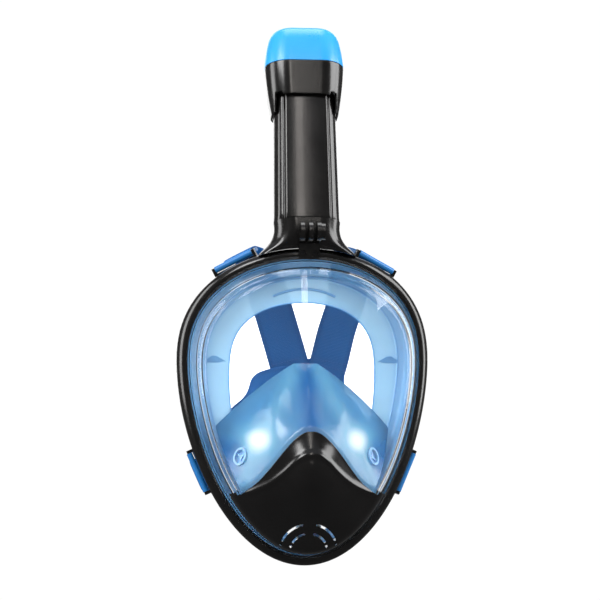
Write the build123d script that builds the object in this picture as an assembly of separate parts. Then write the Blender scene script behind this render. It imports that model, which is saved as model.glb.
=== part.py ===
from build123d import *
from math import atan2, copysign, cos, exp, hypot, pi, radians, sin, sqrt
import os

# Snorkel mask, in millimetres. X runs across the face, +Y towards the wearer's head, Z up.
# The origin is the centre of the face opening, on the plane that the forehead rests on.

# Rim of the mask: a rounded egg, seen from the front
RIM_HALF_WIDTH = 98.6
WIDEST_Z = 34.5
RIM_TOP = 88.0            # above the widest level
RIM_BOTTOM = 154.8        # below the widest level
TOP_ROUNDNESS = 2.3
BOTTOM_ROUNDNESS = 1.73
STATIONS = 20             # points on each half of a ring
SEAM_STATION = 4          # where a ring's curve starts, away from every hole

# The rim's front edge is bent round the face
BEND_RADIUS = 150.0
FRONT_Y = -38.0
END_LEAN = 8.0
HALF_HEIGHT = 123.0

# Lens
FACE_CENTRE_Z = 5.0
LENS_THICKNESS = 2.2
FACE_INSET = 17.0
FACE_RISE = 18.6
DOME = 8.0
NOSE_BUMP = 10.0
NOSE_BUMP_Z = -52.0
NOSE_BUMP_X_SPREAD = 30.0
NOSE_BUMP_Z_SPREAD = 27.0

FACE_SHARES = (0.12, 0.28, 0.46, 0.64, 0.80, 0.94)
FACE_PULL = (0.978, 2.3, 0.982)   # first ring inside the lens's face: narrower, deeper, shorter

# Soft skirt
FLANGE_INSET = 20.0
FLANGE_DEPTH = 33.0
FLANGE_THICKNESS = 1.8
OPENING_HALF_WIDTH = 56.4
OPENING_CENTRE_Z = 20.0
OPENING_TOP, OPENING_TOP_ROUNDNESS = 60.0, 3.2
OPENING_BOTTOM, OPENING_BOTTOM_ROUNDNESS = 124.0, 1.75

# Nose and mouth pocket
POCKET_COLUMNS = (-1.0, -0.82, -0.64, -0.46, -0.3, -0.15, 0.0, 0.15, 0.3, 0.46, 0.64, 0.82, 1.0)
POCKET_ROWS = (0.0, 0.2, 0.4, 0.6, 0.8, 1.0)
POCKET_THICKNESS = 1.8
POCKET_INSET = 21.4
POCKET_TOP = 34.0
POCKET_HALF_WIDTH = 64.0  # of its edge on the lens

# Chin cover
COVER_TOP = -13.6
COVER_DROP = 47.4         # from the top of its upper edge to its ends
COVER_HALF_WIDTH = 60.0   # of its shaped upper edge
COVER_GAP = 0.35
COVER_THICKNESS = 2.0
MUZZLE = 6.0

# Purge valve, behind the slots of the chin cover
PURGE_Z = -91.0
PURGE_RADIUS = 10.0
SLOT_CENTRE_Z = -105.3
SLOT_WIDTH = 1.7

# Valves
INHALE_RADIUS = 7.0
VALVE_RIM = 1.6
FLAP_GAP = 0.15
FLAP_THICKNESS = 0.7

# Snorkel
LEAN = 16.0
JOINT_Y = -15.0
JOINT_Z = 141.0
PLUG_DEPTH = 14.0
TUBE_LENGTH = 104.0
TUBE_WIDTH = 51.0
TUBE_TAPER = 0.945
SHOULDER_GAP = 0.15
PLUG = (44.4, 29.0, 12.7)
MIDDLE_WIDTH = 21.0
SIDE_CENTRE = 17.2
SIDE_CHANNEL = (9.6, 20.0, 4.4)
GASKET_SEAT = (42.6, 27.2, 11.8)
GASKET_LEVEL = -5.4
GASKET_WIDTH = 2.4
HEAD_START = 87.0
HEAD_SPLIT = 126.0
HEAD_TOP = 157.5
HEAD_WALL = 1.7
HEAD_CORNER = 0.40        # corner radius as a share of the depth
# Distance along the snorkel, width and depth of each section
HEAD_SECTIONS = ((HEAD_START, 52.4, 39.0), (96.0, 55.0, 41.5), (108.0, 59.2, 45.0),
                 (HEAD_SPLIT, 62.0, 47.5))
CAP_SECTIONS = ((HEAD_SPLIT + 0.3, 62.0, 47.5), (HEAD_SPLIT + 11, 59.4, 45.6),
                (HEAD_SPLIT + 20, 56.4, 43.0), (HEAD_SPLIT + 27, 51.5, 38.6),
                (HEAD_SPLIT + 30.2, 46.0, 33.4), (HEAD_TOP, 38.0, 26.0))
FLOAT_TRAVEL = 6.0

# Buckles
UPPER_BUCKLE_T = 0.578
LOWER_BUCKLE_T = 2.21
BUCKLE_HALF_LENGTH = 16.0
PIN_RADIUS = 1.2
HINGE_W = 15.0
PLATE_LENGTH = 26.0
TAIL_LENGTH = 36.0
LUG_THICKNESS = 2.2
BARREL_GAP = 0.4          # between a buckle's barrel and the frame

SOCKET_FRONT = -34.8      # nothing of the camera mount lies behind this above the rim

# Camera fork
FORK_Y = -47.0
FORK_Z = 135.0
PRONG_THICKNESS = 3.0
PRONG_PITCH = 6.3
FORK_BORE_RADIUS = 2.6
MOUNT_Z = 118.0
MOUNT_SCREW_HOLE = 1.3

# Straps
STRAP_WIDTH = 33.0
STRAP_THICKNESS = 2.0
TAIL_WIDTH = 25.0
PATCH_CENTRE = (16.0, 122.5, 2.0)     # it hangs a little to one side
STRAP_POINTS = {
    "upper_left": ((-30.0, 70.0, 108.0), (-20.0, 92.0, 84.0), (-9.0, 108.5, 53.0), (-1.0, 116.4, 28.0)),
    "upper_right": ((44.0, 70.0, 108.0), (45.0, 92.0, 84.0), (38.0, 108.5, 53.0), (33.0, 116.4, 28.0)),
    "lower_left": ((-60.0, 72.0, -44.0), (-40.0, 91.0, -17.0), (-26.0, 106.0, 3.0), (0.0, 113.2, 9.0)),
    "lower_right": ((70.0, 72.0, -52.0), (62.0, 92.0, -40.0), (50.0, 105.5, -22.0), (31.0, 111.6, -5.0)),
}

os.makedirs("parts", exist_ok=True)


def outline(t):
    """Point of the rim's outer edge: t runs from 0 at the top to pi at the chin."""
    c = cos(t)
    reach, roundness = (RIM_TOP, TOP_ROUNDNESS) if c >= 0 else (RIM_BOTTOM, BOTTOM_ROUNDNESS)
    return RIM_HALF_WIDTH * sin(t), WIDEST_Z + copysign(reach * abs(c) ** (2 / roundness), c)


def inset(t, u):
    """Point at the distance u inside the rim's outer edge."""
    step = 1e-4
    if t < step:
        return 0.0, WIDEST_Z + RIM_TOP - u
    if t > pi - step:
        return 0.0, WIDEST_Z - RIM_BOTTOM + u
    x, z = outline(t)
    x0, z0 = outline(t - step)
    x1, z1 = outline(t + step)
    length = hypot(x1 - x0, z1 - z0)
    return x + (z1 - z0) / length * u, z - (x1 - x0) / length * u


def front_y(x, z):
    """Depth of the rim's front edge, bent round the face."""
    return FRONT_Y + BEND_RADIUS - sqrt(BEND_RADIUS**2 - x * x) + END_LEAN * (z / HALF_HEIGHT) ** 2


def stations():
    return [pi * i / STATIONS for i in range(STATIONS + 1)]


def rim_ring(u, w):
    """Half ring at the inset u and the depth w behind the rim's front edge."""
    points = []
    for t in stations():
        x, z = inset(t, u)
        points.append((x, front_y(x, z) + w, z))
    return points


def ring_edge(half):
    """The whole ring as one smooth curve, from the points of its right half."""
    whole = half + [(-x, y, z) for x, y, z in half[-2:0:-1]]
    return Spline(*whole[SEAM_STATION:], *whole[:SEAM_STATION], periodic=True).edge()


def skin(rings, closed):
    """Solid whose skin runs from ring to ring. A closed one is a loop, an open one has flat ends."""
    curves = [ring_edge(points) for points in rings]
    pairs = list(zip(curves, curves[1:]))
    if closed:
        pairs.append((curves[-1], curves[0]))
    faces = [Face.make_surface_from_curves(first, second) for first, second in pairs]
    if not closed:
        faces += [Face(Wire([curve])) for curve in (curves[0], curves[-1])]
    return Solid(Shell(faces))


def ribbon(edges_front, edges_back):
    """Closed band between two front curves and two back curves, with ruled sides and ends."""
    front_a, front_b = [Spline(*points).edge() for points in edges_front]
    back_a, back_b = [Spline(*points).edge() for points in edges_back]
    faces = [
        Face.make_surface_from_curves(front_a, front_b),
        Face.make_surface_from_curves(back_a, back_b),
        Face.make_surface_from_curves(front_a, back_a),
        Face.make_surface_from_curves(front_b, back_b),
    ]
    for end in (0, -1):
        front = Line(edges_front[0][end], edges_front[1][end]).edge()
        back = Line(edges_back[0][end], edges_back[1][end]).edge()
        faces.append(Face.make_surface_from_curves(front, back))
    return Solid(Shell(faces))


def quilt(front, back):
    """Closed sheet between two grids of points, ruled from one row's curve to the next."""
    front_rows = [Spline(*row).edge() for row in front]
    back_rows = [Spline(*row).edge() for row in back]
    faces = []
    for rows in (front_rows, back_rows):
        faces += [Face.make_surface_from_curves(a, b) for a, b in zip(rows, rows[1:])]
    faces.append(Face.make_surface_from_curves(front_rows[0], back_rows[0]))
    faces.append(Face.make_surface_from_curves(front_rows[-1], back_rows[-1]))
    for side in (0, -1):
        for i in range(len(front) - 1):
            a = Line(front[i][side], front[i + 1][side]).edge()
            b = Line(back[i][side], back[i + 1][side]).edge()
            faces.append(Face.make_surface_from_curves(a, b))
    return Solid(Shell(faces))


# ---------------------------------------------------------------- lens and its surface

def smooth(a):
    a = min(max(a, 0.0), 1.0)
    return a * a * (3 - 2 * a)


def face_depth(x, z, s):
    """Outer surface of the lens's face: s is 0 at its edge and 1 at its centre."""
    nose = exp(-((x / NOSE_BUMP_X_SPREAD) ** 2) - ((z - NOSE_BUMP_Z) / NOSE_BUMP_Z_SPREAD) ** 2)
    return front_y(x, z) - FACE_RISE - DOME * s * (2 - s) - NOSE_BUMP * nose * smooth(s / 0.3)


def face_share(x, z):
    """How far a point of the face lies from its edge (0) to its centre (1)."""
    aim = atan2(abs(x), z - FACE_CENTRE_Z)
    low, high = 0.0, pi
    for _ in range(30):
        t = (low + high) / 2
        ex, ez = inset(t, FACE_INSET)
        if atan2(ex, ez - FACE_CENTRE_Z) < aim:
            low = t
        else:
            high = t
    ex, ez = inset((low + high) / 2, FACE_INSET)
    return 1 - hypot(x, z - FACE_CENTRE_Z) / hypot(ex, ez - FACE_CENTRE_Z)


def lens_y(x, z):
    """Depth of the lens's outer surface at any point of its face."""
    return face_depth(x, z, max(face_share(x, z), 0.0))


def face_ring(s, forward, flat=False):
    """Ring of the face at the share s, moved forward by a distance or a function of x and z."""
    points = []
    for t in stations():
        ex, ez = inset(t, FACE_INSET)
        x = ex * (1 - s)
        z = ez + (FACE_CENTRE_Z - ez) * s
        lift = forward(x, z) if callable(forward) else forward
        points.append((x, face_depth(x, z, s) - lift, z))
    if flat:
        level = sum(p[1] for p in points) / len(points)
        points = [(x, level, z) for x, y, z in points]
    return points


def make_lens():
    outer = [rim_ring(u, w) for u, w in
             ((2.9, 3.3), (8.7, 3.3), (9.3, 1.2), (12.9, -11.0), (14.6, -16.0))]
    outer.append(face_ring(0.0, 0.0))
    outer += [face_ring(s, 0.0, s == FACE_SHARES[-1]) for s in FACE_SHARES]
    inner = [rim_ring(u, w) for u, w in
             ((2.9, 5.4), (10.9, 5.4), (11.5, 2.4), (15.1, -9.6), (16.6, -14.2))]
    narrower, deeper, shorter = FACE_PULL
    inner.append([(x * narrower, y + deeper, FACE_CENTRE_Z + (z - FACE_CENTRE_Z) * shorter)
                  for x, y, z in face_ring(0.0, 0.0)])
    inner += [face_ring(s, -LENS_THICKNESS, s == FACE_SHARES[-1]) for s in FACE_SHARES]
    lens = skin(outer[::-1] + inner, closed=False)
    return lens - purge_plane() * Cylinder(PURGE_RADIUS, 20)


def purge_plane():
    """Plane of the purge valve, square to the lens."""
    slope = (lens_y(0, PURGE_Z + 2) - lens_y(0, PURGE_Z - 2)) / 4
    return Plane(origin=(0, lens_y(0, PURGE_Z), PURGE_Z), x_dir=(1, 0, 0), z_dir=(0, -1, slope))


# ---------------------------------------------------------------- frame

def outline_prism(u, reach=400.0):
    """Prism along Y over the rim's outline, at the inset u."""
    half = [inset(t, u) for t in stations()]
    edge = ring_edge([(x, -reach, z) for x, z in half])
    return extrude(Face(Wire([edge])), 2 * reach, (0, 1, 0))


def make_front_frame():
    frame = skin([rim_ring(u, w) for u, w in
                  ((0, 12), (0, 4.6), (0.6, 2.3), (2.2, 0.7), (4.2, 0), (6.6, 0.5),
                   (7.9, 1.5), (8.3, 3.0), (2.6, 3.0), (2.6, 12))], closed=True)
    for screw in mount_screw_places():
        frame -= screw * Cylinder(MOUNT_SCREW_HOLE, 14)
    return frame


def make_rear_frame():
    frame = skin([rim_ring(u, w) for u, w in
                  ((2.85, 9.1), (9.6, 9.1), (9.8, 15.0), (8.8, 16.2), (1.4, 16.2),
                   (0, 15.0), (0, 12.2), (2.85, 12.2))], closed=True)
    frame -= air_ports(z_low=108.0, z_high=130.0)
    places = buckle_places()
    lugs = [plane * lug(side, barrel) for _, plane, barrel in places for side in (-1, 1)]
    return frame + lugs + [plane * hinge_bed(barrel) for _, plane, barrel in places]


def air_ports(z_low, z_high):
    """The ways from the socket into the mask: fresh air in the middle, used air at the sides."""
    depth = front_y(0, MOUNT_Z) + 12.6
    ports = None
    for x, width in ((0, 11.0), (-12.5, 7.0), (12.5, 7.0)):
        box = Pos(x, depth, (z_low + z_high) / 2) * Box(width, 4.6, z_high - z_low)
        ports = box if ports is None else ports + box
    return ports


# ---------------------------------------------------------------- soft skirt

def opening(t):
    """Edge of the skirt that lies on the face."""
    c = cos(t)
    if c >= 0:
        reach, roundness = OPENING_TOP, OPENING_TOP_ROUNDNESS
    else:
        reach, roundness = OPENING_BOTTOM, OPENING_BOTTOM_ROUNDNESS
    x = OPENING_HALF_WIDTH * sin(t)
    z = OPENING_CENTRE_Z + copysign(reach * abs(c) ** (2 / roundness), c)
    y = -6.0 + 0.0052 * x * x + 4.0 * (z / 100.0) ** 2
    return x, y, z


def flange_ring(share, lift):
    """Ring of the sealing flange between its fold (0) and the face opening (1)."""
    points = []
    for t in stations():
        x, z = inset(t, FLANGE_INSET)
        fold = (x, front_y(x, z) + FLANGE_DEPTH, z)
        edge = opening(t)
        points.append(tuple(a + (b - a) * share for a, b in zip(fold, edge)))
    return [(x, y - lift, z) for x, y, z in points]


def make_skirt():
    rings = [rim_ring(u, w) for u, w in ((2.9, 5.7), (2.9, 8.8), (10.2, 8.8), (12.6, 18.0),
                                         (13.4, 27.0), (16.0, 32.5))]
    rings += [flange_ring(share, 0.0) for share in (0.0, 0.5, 1.0)]
    rings += [flange_ring(share, FLANGE_THICKNESS) for share in (0.97, 0.5, 0.08)]
    rings += [rim_ring(u, w) for u, w in ((17.2, 30.4), (15.3, 26.3), (14.4, 17.4), (12.4, 5.7))]
    skirt = skin(rings, closed=True)
    return skirt - Pos(0, front_y(0, MOUNT_Z) + 12.6, 105) * Box(33, 5.0, 30)


# ---------------------------------------------------------------- nose and mouth pocket

def pocket_rear(i):
    """The pocket's edge on the bridge of the nose and the cheeks; i runs from -1 to 1."""
    a = abs(i)
    x = copysign(8.0 * smooth(a / 0.13) + 66.0 * max(a - 0.1, 0.0) / 0.9, i)
    fall = max(abs(x) - 9.0, 0.0)
    z = POCKET_TOP - 0.62 * fall - 0.0042 * fall * fall
    return x, -16.0 + 0.0057 * x * x, z


def cover_line(x):
    """Height of the chin cover's upper edge at x."""
    return COVER_TOP - COVER_DROP * smooth((abs(x) - 1.0) / 52.0)


def pocket_front(i):
    """The pocket's edge on the inside of the lens, just above the chin cover."""
    x = POCKET_HALF_WIDTH * i
    z = cover_line(x) + 3.0
    return x, lens_y(x, z) + LENS_THICKNESS + 0.6, z


def pocket_point(i, j, depth):
    a = pocket_rear(i)
    b = pocket_front(i)
    x, y, z = (p + (q - p) * j for p, q in zip(a, b))
    swell = sin(pi * j)
    cheek = 9.0 * swell * smooth((abs(i) - 0.12) / 0.3) * (1 - smooth((abs(i) - 0.6) / 0.4))
    ridge = 5.0 * swell * exp(-((i / 0.1) ** 2))
    rise = cheek + ridge - depth
    return x, y - 0.6 * rise, z + 0.8 * rise


def make_pocket():
    front = [[pocket_point(i, j, 0.0) for i in POCKET_COLUMNS] for j in POCKET_ROWS]
    back = [[pocket_point(i, j, POCKET_THICKNESS) for i in POCKET_COLUMNS] for j in POCKET_ROWS]
    pocket = quilt(front, back) & outline_prism(POCKET_INSET)
    for side in (-1, 1):
        pocket -= inhale_plane(side) * Cylinder(INHALE_RADIUS, 12)
    return pocket


def inhale_plane(side):
    """Plane of an inhale valve, square to the pocket's wall."""
    i, j = 0.74 * side, 0.68
    here = Vector(*pocket_point(i, j, POCKET_THICKNESS / 2))
    across = Vector(*pocket_point(i + 0.05, j, 0)) - Vector(*pocket_point(i - 0.05, j, 0))
    along = Vector(*pocket_point(i, j + 0.05, 0)) - Vector(*pocket_point(i, j - 0.05, 0))
    return Plane(origin=here, x_dir=across.normalized(), z_dir=across.cross(along).normalized())


# ---------------------------------------------------------------- chin cover

def muzzle(x, z):
    """Extra height of the chin cover over the lens, highest along its crest."""
    return MUZZLE * exp(-((x / 20.0) ** 2) - ((z + 38.0) / 24.0) ** 2)


def cover_prism():
    """Prism along Y over the part of the face that the chin cover hides."""
    half = [(x, cover_line(x)) for x in (0.0, 7.0, 14.0, 20.0, 26.0, 33.0, 41.0, 49.0, COVER_HALF_WIDTH)]
    top = Spline(*[(-x, z) for x, z in half[:0:-1]], *half)
    x, z = half[-1]
    below = [(x, z), (110, z - 8), (110, -150), (-110, -150), (-110, z - 8), (-x, z)]
    border = [top.edge()] + [Line(a, b).edge() for a, b in zip(below, below[1:])]
    face = Plane.XZ * Face(Wire(border))
    return extrude(face, 200, (0, -1, 0)) + extrude(face, 50, (0, 1, 0))


def make_chin_cover():
    def outer_lift(x, z):
        return COVER_GAP + COVER_THICKNESS + muzzle(x, z)

    def inner_lift(x, z):
        return COVER_GAP + muzzle(x, z) * 0.8

    shares = FACE_SHARES[:-1]
    outer = [rim_ring(u, w) for u, w in ((11.5, -14.0), (12.7, -17.4), (14.6, -19.8))]
    outer += [face_ring(s, outer_lift) for s in (0.0,) + shares]
    outer.append(face_ring(FACE_SHARES[-1], outer_lift, True))
    inner = [rim_ring(u, w) for u, w in ((13.2, -13.4), (14.15, -16.3))]
    inner += [face_ring(s, inner_lift) for s in (0.0,) + shares]
    inner.append(face_ring(FACE_SHARES[-1], inner_lift, True))
    cover = skin(outer[::-1] + inner, closed=False) & cover_prism()
    for slot in purge_slots():
        cover -= slot
    return cover


def purge_slots():
    """Curved slots in two rows over the purge valve, and a pair of round holes at each end."""
    slots = []
    for radius, start, end in ((21.5, 24.0, 75.0), (14.0, 32.0, 74.0)):
        for side in (0, 1):
            low, high = (start, end) if side == 0 else (180 - end, 180 - start)
            slots.append(arc_slot(radius, low, high))
    for radius, angle in ((21.5, 14.0), (21.5, 166.0), (14.0, 16.0), (14.0, 164.0)):
        x = radius * cos(radians(angle))
        z = SLOT_CENTRE_Z + radius * sin(radians(angle))
        slots.append(Pos(x, -60, z) * Rot(90, 0, 0) * Cylinder(0.95, 60))
    return slots


def arc_slot(radius, low, high):
    face = SlotArc(CenterArc((0, 0), radius, low, high - low), SLOT_WIDTH)
    return Pos(0, -90, SLOT_CENTRE_Z) * Rot(90, 0, 0) * Pos(0, 0, -60) * extrude(face, 60)


# ---------------------------------------------------------------- valves

def valve_seat(radius, collar):
    """Rim with three spokes and a hub. Local z = 0 is the face that the flap lies on."""
    rim = Pos(0, 0, -1.5) * (Cylinder(radius, 3.0) - Cylinder(radius - VALVE_RIM, 3.0))
    spokes = [Rot(0, 0, 120 * k) * Pos(radius / 2, 0, -0.8) * Box(radius - 1.0, 1.2, 1.4)
              for k in range(3)]
    seat = rim + spokes + Pos(0, 0, -0.8) * Cylinder(1.6, 1.4)
    if collar:
        seat += Pos(0, 0, collar / 2) * (Cylinder(radius, collar) - Cylinder(radius - 0.8, collar))
    return seat


def valve_flap(radius):
    """Thin disc, lying just clear of its seat."""
    return Pos(0, 0, FLAP_GAP + FLAP_THICKNESS / 2) * Cylinder(radius, FLAP_THICKNESS)


def purge_face():
    """Plane that the purge flap lies on, sunk into the lens."""
    return purge_plane() * Pos(0, 0, -2.3)


def inhale_face(side):
    """Plane that an inhale flap lies on, on the pocket's inside."""
    return inhale_plane(side) * Pos(0, 0, 1.2)


def exhale_face(side):
    """Plane that an exhale flap lies on, at the top of a side channel."""
    return tube_plane(TUBE_LENGTH + 2.3) * Pos(side * SIDE_CENTRE, 0, 0)


def make_exhale_flap(side):
    flap = extrude(oval(9.4, 19.4, 4.4), FLAP_THICKNESS)
    return exhale_face(side) * Pos(0, 0, FLAP_GAP) * flap


# ---------------------------------------------------------------- snorkel socket

def tube_plane(along=0.0):
    """Plane square to the snorkel's axis, at a distance along it from the joint."""
    lean = radians(LEAN)
    origin = (0, JOINT_Y + along * sin(lean), JOINT_Z + along * cos(lean))
    return Plane(origin=origin, x_dir=(1, 0, 0), z_dir=(0, sin(lean), cos(lean)))


def oval(width, depth, corner):
    return RectangleRounded(width, depth, corner)


def make_socket():
    sections = [tube_plane(0.0) * oval(51.6, 37.0, 16.5)]
    for z, width, depth, centre in ((131.0, 53.0, 34.0, -17.2), (124.5, 61.0, 25.0, -20.3),
                                    (112.0, 84.0, 16.0, -22.6)):
        sections.append(Pos(0, centre, z) * oval(width, depth, depth * 0.45))
    socket = loft(sections)
    socket -= outline_prism(-0.2)
    pit = extrude(oval(45.0, 29.6, 13.0), PLUG_DEPTH / 2 + 0.4, both=True)
    socket -= tube_plane(-PLUG_DEPTH / 2 - 0.3) * pit
    socket -= air_ports(z_low=110.0, z_high=133.0)
    socket -= button_plane() * Box(10.4, 6.4, 30)
    return socket


def make_socket_seal():
    ring = oval(44.6, 29.2, 12.8) - oval(40.0, 24.6, 10.5)
    return tube_plane(-PLUG_DEPTH - 0.1) * extrude(ring, 1.2)


def button_plane():
    """Plane of the release button on the rear of the socket, z pointing out of it."""
    return Plane(origin=(0, -0.6, 130.6), x_dir=(1, 0, 0), z_dir=(0, 1, 0))


def make_button():
    head = Pos(0, 0, 1.9) * Box(10.0, 6.0, 2.6)
    return button_plane() * fillet(head.edges().filter_by(Axis.Z), 1.2)


# ---------------------------------------------------------------- snorkel tube

def tube_section(scale):
    """Oval with a raised flat panel, front and back, between two side lobes."""
    return oval(TUBE_WIDTH * scale, 32.4, 15.6) + oval(36.0, 35.0, 1.2)


def make_tube():
    """Three channels side by side, with a plug below them that fits the socket."""
    body = loft([tube_plane(SHOULDER_GAP) * tube_section(1.0),
                 tube_plane(TUBE_LENGTH) * tube_section(TUBE_TAPER)], ruled=True)
    plug = extrude(tube_plane(-PLUG_DEPTH + 1.6) * oval(*PLUG), PLUG_DEPTH - 1.6 + SHOULDER_GAP)
    tube = body + plug
    tube -= extrude(tube_plane(-PLUG_DEPTH) * oval(MIDDLE_WIDTH - 0.8, 22.0, 4.0), PLUG_DEPTH + 3)
    tube -= extrude(tube_plane(2.0) * oval(MIDDLE_WIDTH, 30.4, 4.0), TUBE_LENGTH)
    for side in (-1, 1):
        slot = tube_plane(-PLUG_DEPTH) * Pos(side * 16.1, 0) * oval(6.8, 18.0, 3.2)
        tube -= extrude(slot, PLUG_DEPTH + 3)
        channel = tube_plane(2.0) * Pos(side * SIDE_CENTRE, 0) * oval(*SIDE_CHANNEL)
        tube -= extrude(channel, TUBE_LENGTH)
    groove = oval(46.0, 31.0, 13.5) - oval(*GASKET_SEAT)
    return tube - extrude(tube_plane(GASKET_LEVEL - 0.1) * groove, GASKET_WIDTH + 0.2)


def make_gasket():
    ring = oval(PLUG[0] + 0.3, PLUG[1] + 0.3, PLUG[2] + 0.15)
    ring -= oval(GASKET_SEAT[0] + 0.1, GASKET_SEAT[1] + 0.1, GASKET_SEAT[2] + 0.05)
    return extrude(tube_plane(GASKET_LEVEL) * ring, GASKET_WIDTH)


# ---------------------------------------------------------------- dry-top head

def head_loft(sections, shrink=0.0):
    faces = []
    for along, width, depth in sections:
        section = oval(width - 2 * shrink, depth - 2 * shrink, depth * HEAD_CORNER - shrink)
        faces.append(tube_plane(along) * section)
    return loft(faces, ruled=True)


def make_head_housing():
    """Shell round the tube's end: its front and back panels close on the tube, its sides are open."""
    shell = head_loft(HEAD_SECTIONS)
    cavity = head_loft(HEAD_SECTIONS, HEAD_WALL)
    cavity += extrude(tube_plane(HEAD_SPLIT - 2) * oval(58.6, 44.1, 17.0), 4)
    cavity += extrude(tube_plane(HEAD_START - 2) * oval(49.2, 35.6, 14.0), 4)
    cavity += extrude(tube_plane(HEAD_START - 2) * oval(36.8, 35.8, 1.6), 24)
    housing = shell - cavity
    for side in (-1, 1):
        for face in (-1, 1):
            slot = Pos(side * 20.6, face * 20.0, 0) * Box(3.4, 12.0, 16.0)
            housing -= tube_plane(HEAD_START + 10.0) * slot
    return housing


def make_head_cap():
    lowest, *others = CAP_SECTIONS
    inside = [(lowest[0] - 0.01, *lowest[1:])]
    inside += [(along - HEAD_WALL * 0.6, width, depth) for along, width, depth in others]
    return head_loft(CAP_SECTIONS) - head_loft(inside, HEAD_WALL)


def make_float_seat():
    """Plate across the head with the air way in its middle and a way out over each side channel."""
    plate = extrude(tube_plane(TUBE_LENGTH + 0.3) * oval(50.0, 36.0, 14.0), 2.0)
    plate -= tube_plane(TUBE_LENGTH) * Cylinder(7.6, 12)
    for side in (-1, 1):
        hole = oval(7.6, 17.0, 3.6) - Rectangle(20.0, 1.4)
        plate -= extrude(tube_plane(TUBE_LENGTH) * Pos(side * SIDE_CENTRE, 0) * hole, 6)
    stops = [tube_plane(TUBE_LENGTH) * Rot(0, 0, angle) * Pos(9.2, 0, 3.6) * Box(1.6, 1.6, 3.0)
             for angle in (0, 90, 180, 270)]
    return plate + stops


def make_float_cage():
    """Four posts and a ring that guide the float."""
    ring = Pos(0, 0, 27.0) * (Cylinder(14.4, 1.6) - Cylinder(12.4, 3.0))
    posts = [Pos(x * 9.6, y * 9.6, 13.4) * Box(1.9, 1.9, 26.8)
             for x in (-1, 1) for y in (-1, 1)]
    return tube_plane(TUBE_LENGTH + 2.3) * (ring + posts)


def make_float():
    body = fillet(Cylinder(10.6, 13.0).edges(), 1.4) - Cylinder(1.55, 14.0)
    return tube_plane(TUBE_LENGTH + 12.1) * body


def make_float_seal():
    """Stem through the air way with the sealing disc under the seat."""
    stem = extrude(Circle(1.5), 24.0)
    disc = fillet(Cylinder(9.2, 2.0).edges(), 0.6)
    return tube_plane(TUBE_LENGTH - FLOAT_TRAVEL - 1.2) * (stem + disc)


# ---------------------------------------------------------------- camera fork

def mount_screw_places():
    return [Pos(x, front_y(x, MOUNT_Z) + 0.6, 118.4) * Rot(90, 0, 0) for x in (-4.5, 4.5)]


def make_camera_mount():
    width = 2 * PRONG_PITCH + PRONG_THICKNESS
    base_y = front_y(0, MOUNT_Z)
    block = Pos(0, base_y - 4.4, 120.6) * Box(width, 7.6, 12.6)
    side_view = Polygon(
        (base_y - 0.6, 126.0), (base_y - 8.2, 126.0), (FORK_Y - 6.9, FORK_Z - 3.0),
        (FORK_Y, FORK_Z + 7.5), (-37.6, FORK_Z + 3.0), align=None)
    arm = extrude(Plane.YZ * side_view, width / 2, both=True)
    tip = Pos(0, FORK_Y, FORK_Z) * Rot(0, 90, 0) * Cylinder(7.5, width)
    mount = block + arm + tip
    for side in (-1, 1):
        gap = Pos(side * PRONG_PITCH / 2, FORK_Y - 4, FORK_Z + 1.0)
        mount -= gap * Box(PRONG_PITCH - PRONG_THICKNESS, 34, 16.8)
    boss = Pos(width / 2 + 1.55, FORK_Y, FORK_Z) * Rot(0, 90, 0) * Cylinder(6.6, 3.1)
    mount += boss
    mount -= Pos(0, FORK_Y, FORK_Z) * Rot(0, 90, 0) * Cylinder(FORK_BORE_RADIUS, 60)
    nut_pocket = extrude(RegularPolygon(4.2, 6), 2.5)
    mount -= Pos(width / 2 + 0.7, FORK_Y, FORK_Z) * Rot(0, 90, 0) * nut_pocket
    mount -= Pos(0, SOCKET_FRONT + 10, 132.2) * Box(40, 20, 20)
    for screw in mount_screw_places():
        mount -= screw * Cylinder(MOUNT_SCREW_HOLE, 40)
        mount -= screw * Pos(0, 0, 8.6) * Cylinder(2.4, 6.0)
    return mount


def make_camera_nut():
    width = 2 * PRONG_PITCH + PRONG_THICKNESS
    nut = extrude(RegularPolygon(4.1, 6), 2.2) - Cylinder(FORK_BORE_RADIUS + 0.05, 20)
    return Pos(width / 2 + 0.75, FORK_Y, FORK_Z) * Rot(0, 90, 0) * nut


def make_mount_screws():
    screws = []
    for place in mount_screw_places():
        shank = Pos(0, 0, 1.75) * Cylinder(1.2, 7.9)
        head = Pos(0, 0, 6.55) * Cylinder(2.2, 1.8)
        screws.append(place * (shank + head))
    return Compound(children=screws)


# ---------------------------------------------------------------- buckles

def buckle_places():
    """Name, plane and barrel radius of each buckle: x along the pin, y rearward, z outward."""
    places = []
    for name, t, barrel in (("upper", UPPER_BUCKLE_T, 2.5), ("lower", LOWER_BUCKLE_T, 2.2)):
        for side, sign in (("left", -1), ("right", 1)):
            here, ahead = inset(t, 0), inset(t + 0.01, 0)
            point = Vector(here[0], front_y(*here) + HINGE_W, here[1])
            next_point = Vector(ahead[0], front_y(*ahead) + HINGE_W, ahead[1])
            along = (next_point - point).normalized()
            flat = Vector(ahead[0] - here[0], 0, ahead[1] - here[1]).normalized()
            outward = Vector(-flat.Z, 0, flat.X)
            point += outward * (barrel + BARREL_GAP)
            if sign < 0:
                point = Vector(-point.X, point.Y, point.Z)
                along = Vector(along.X, -along.Y, -along.Z)
                outward = Vector(-outward.X, 0, outward.Z)
            plane = Plane(origin=point, x_dir=along, z_dir=outward)
            places.append((name + "_" + side, plane, barrel))
    return places


def lug(side, barrel):
    """Ear of the rear frame that holds one end of a hinge pin."""
    centre = side * (BUCKLE_HALF_LENGTH + 0.25 + LUG_THICKNESS / 2)
    ear = Pos(centre, 0, -1.4) * Box(LUG_THICKNESS, 4.2, 2 * barrel + 1.4)
    return ear - Rot(0, 90, 0) * Cylinder(PIN_RADIUS, 60)


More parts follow.
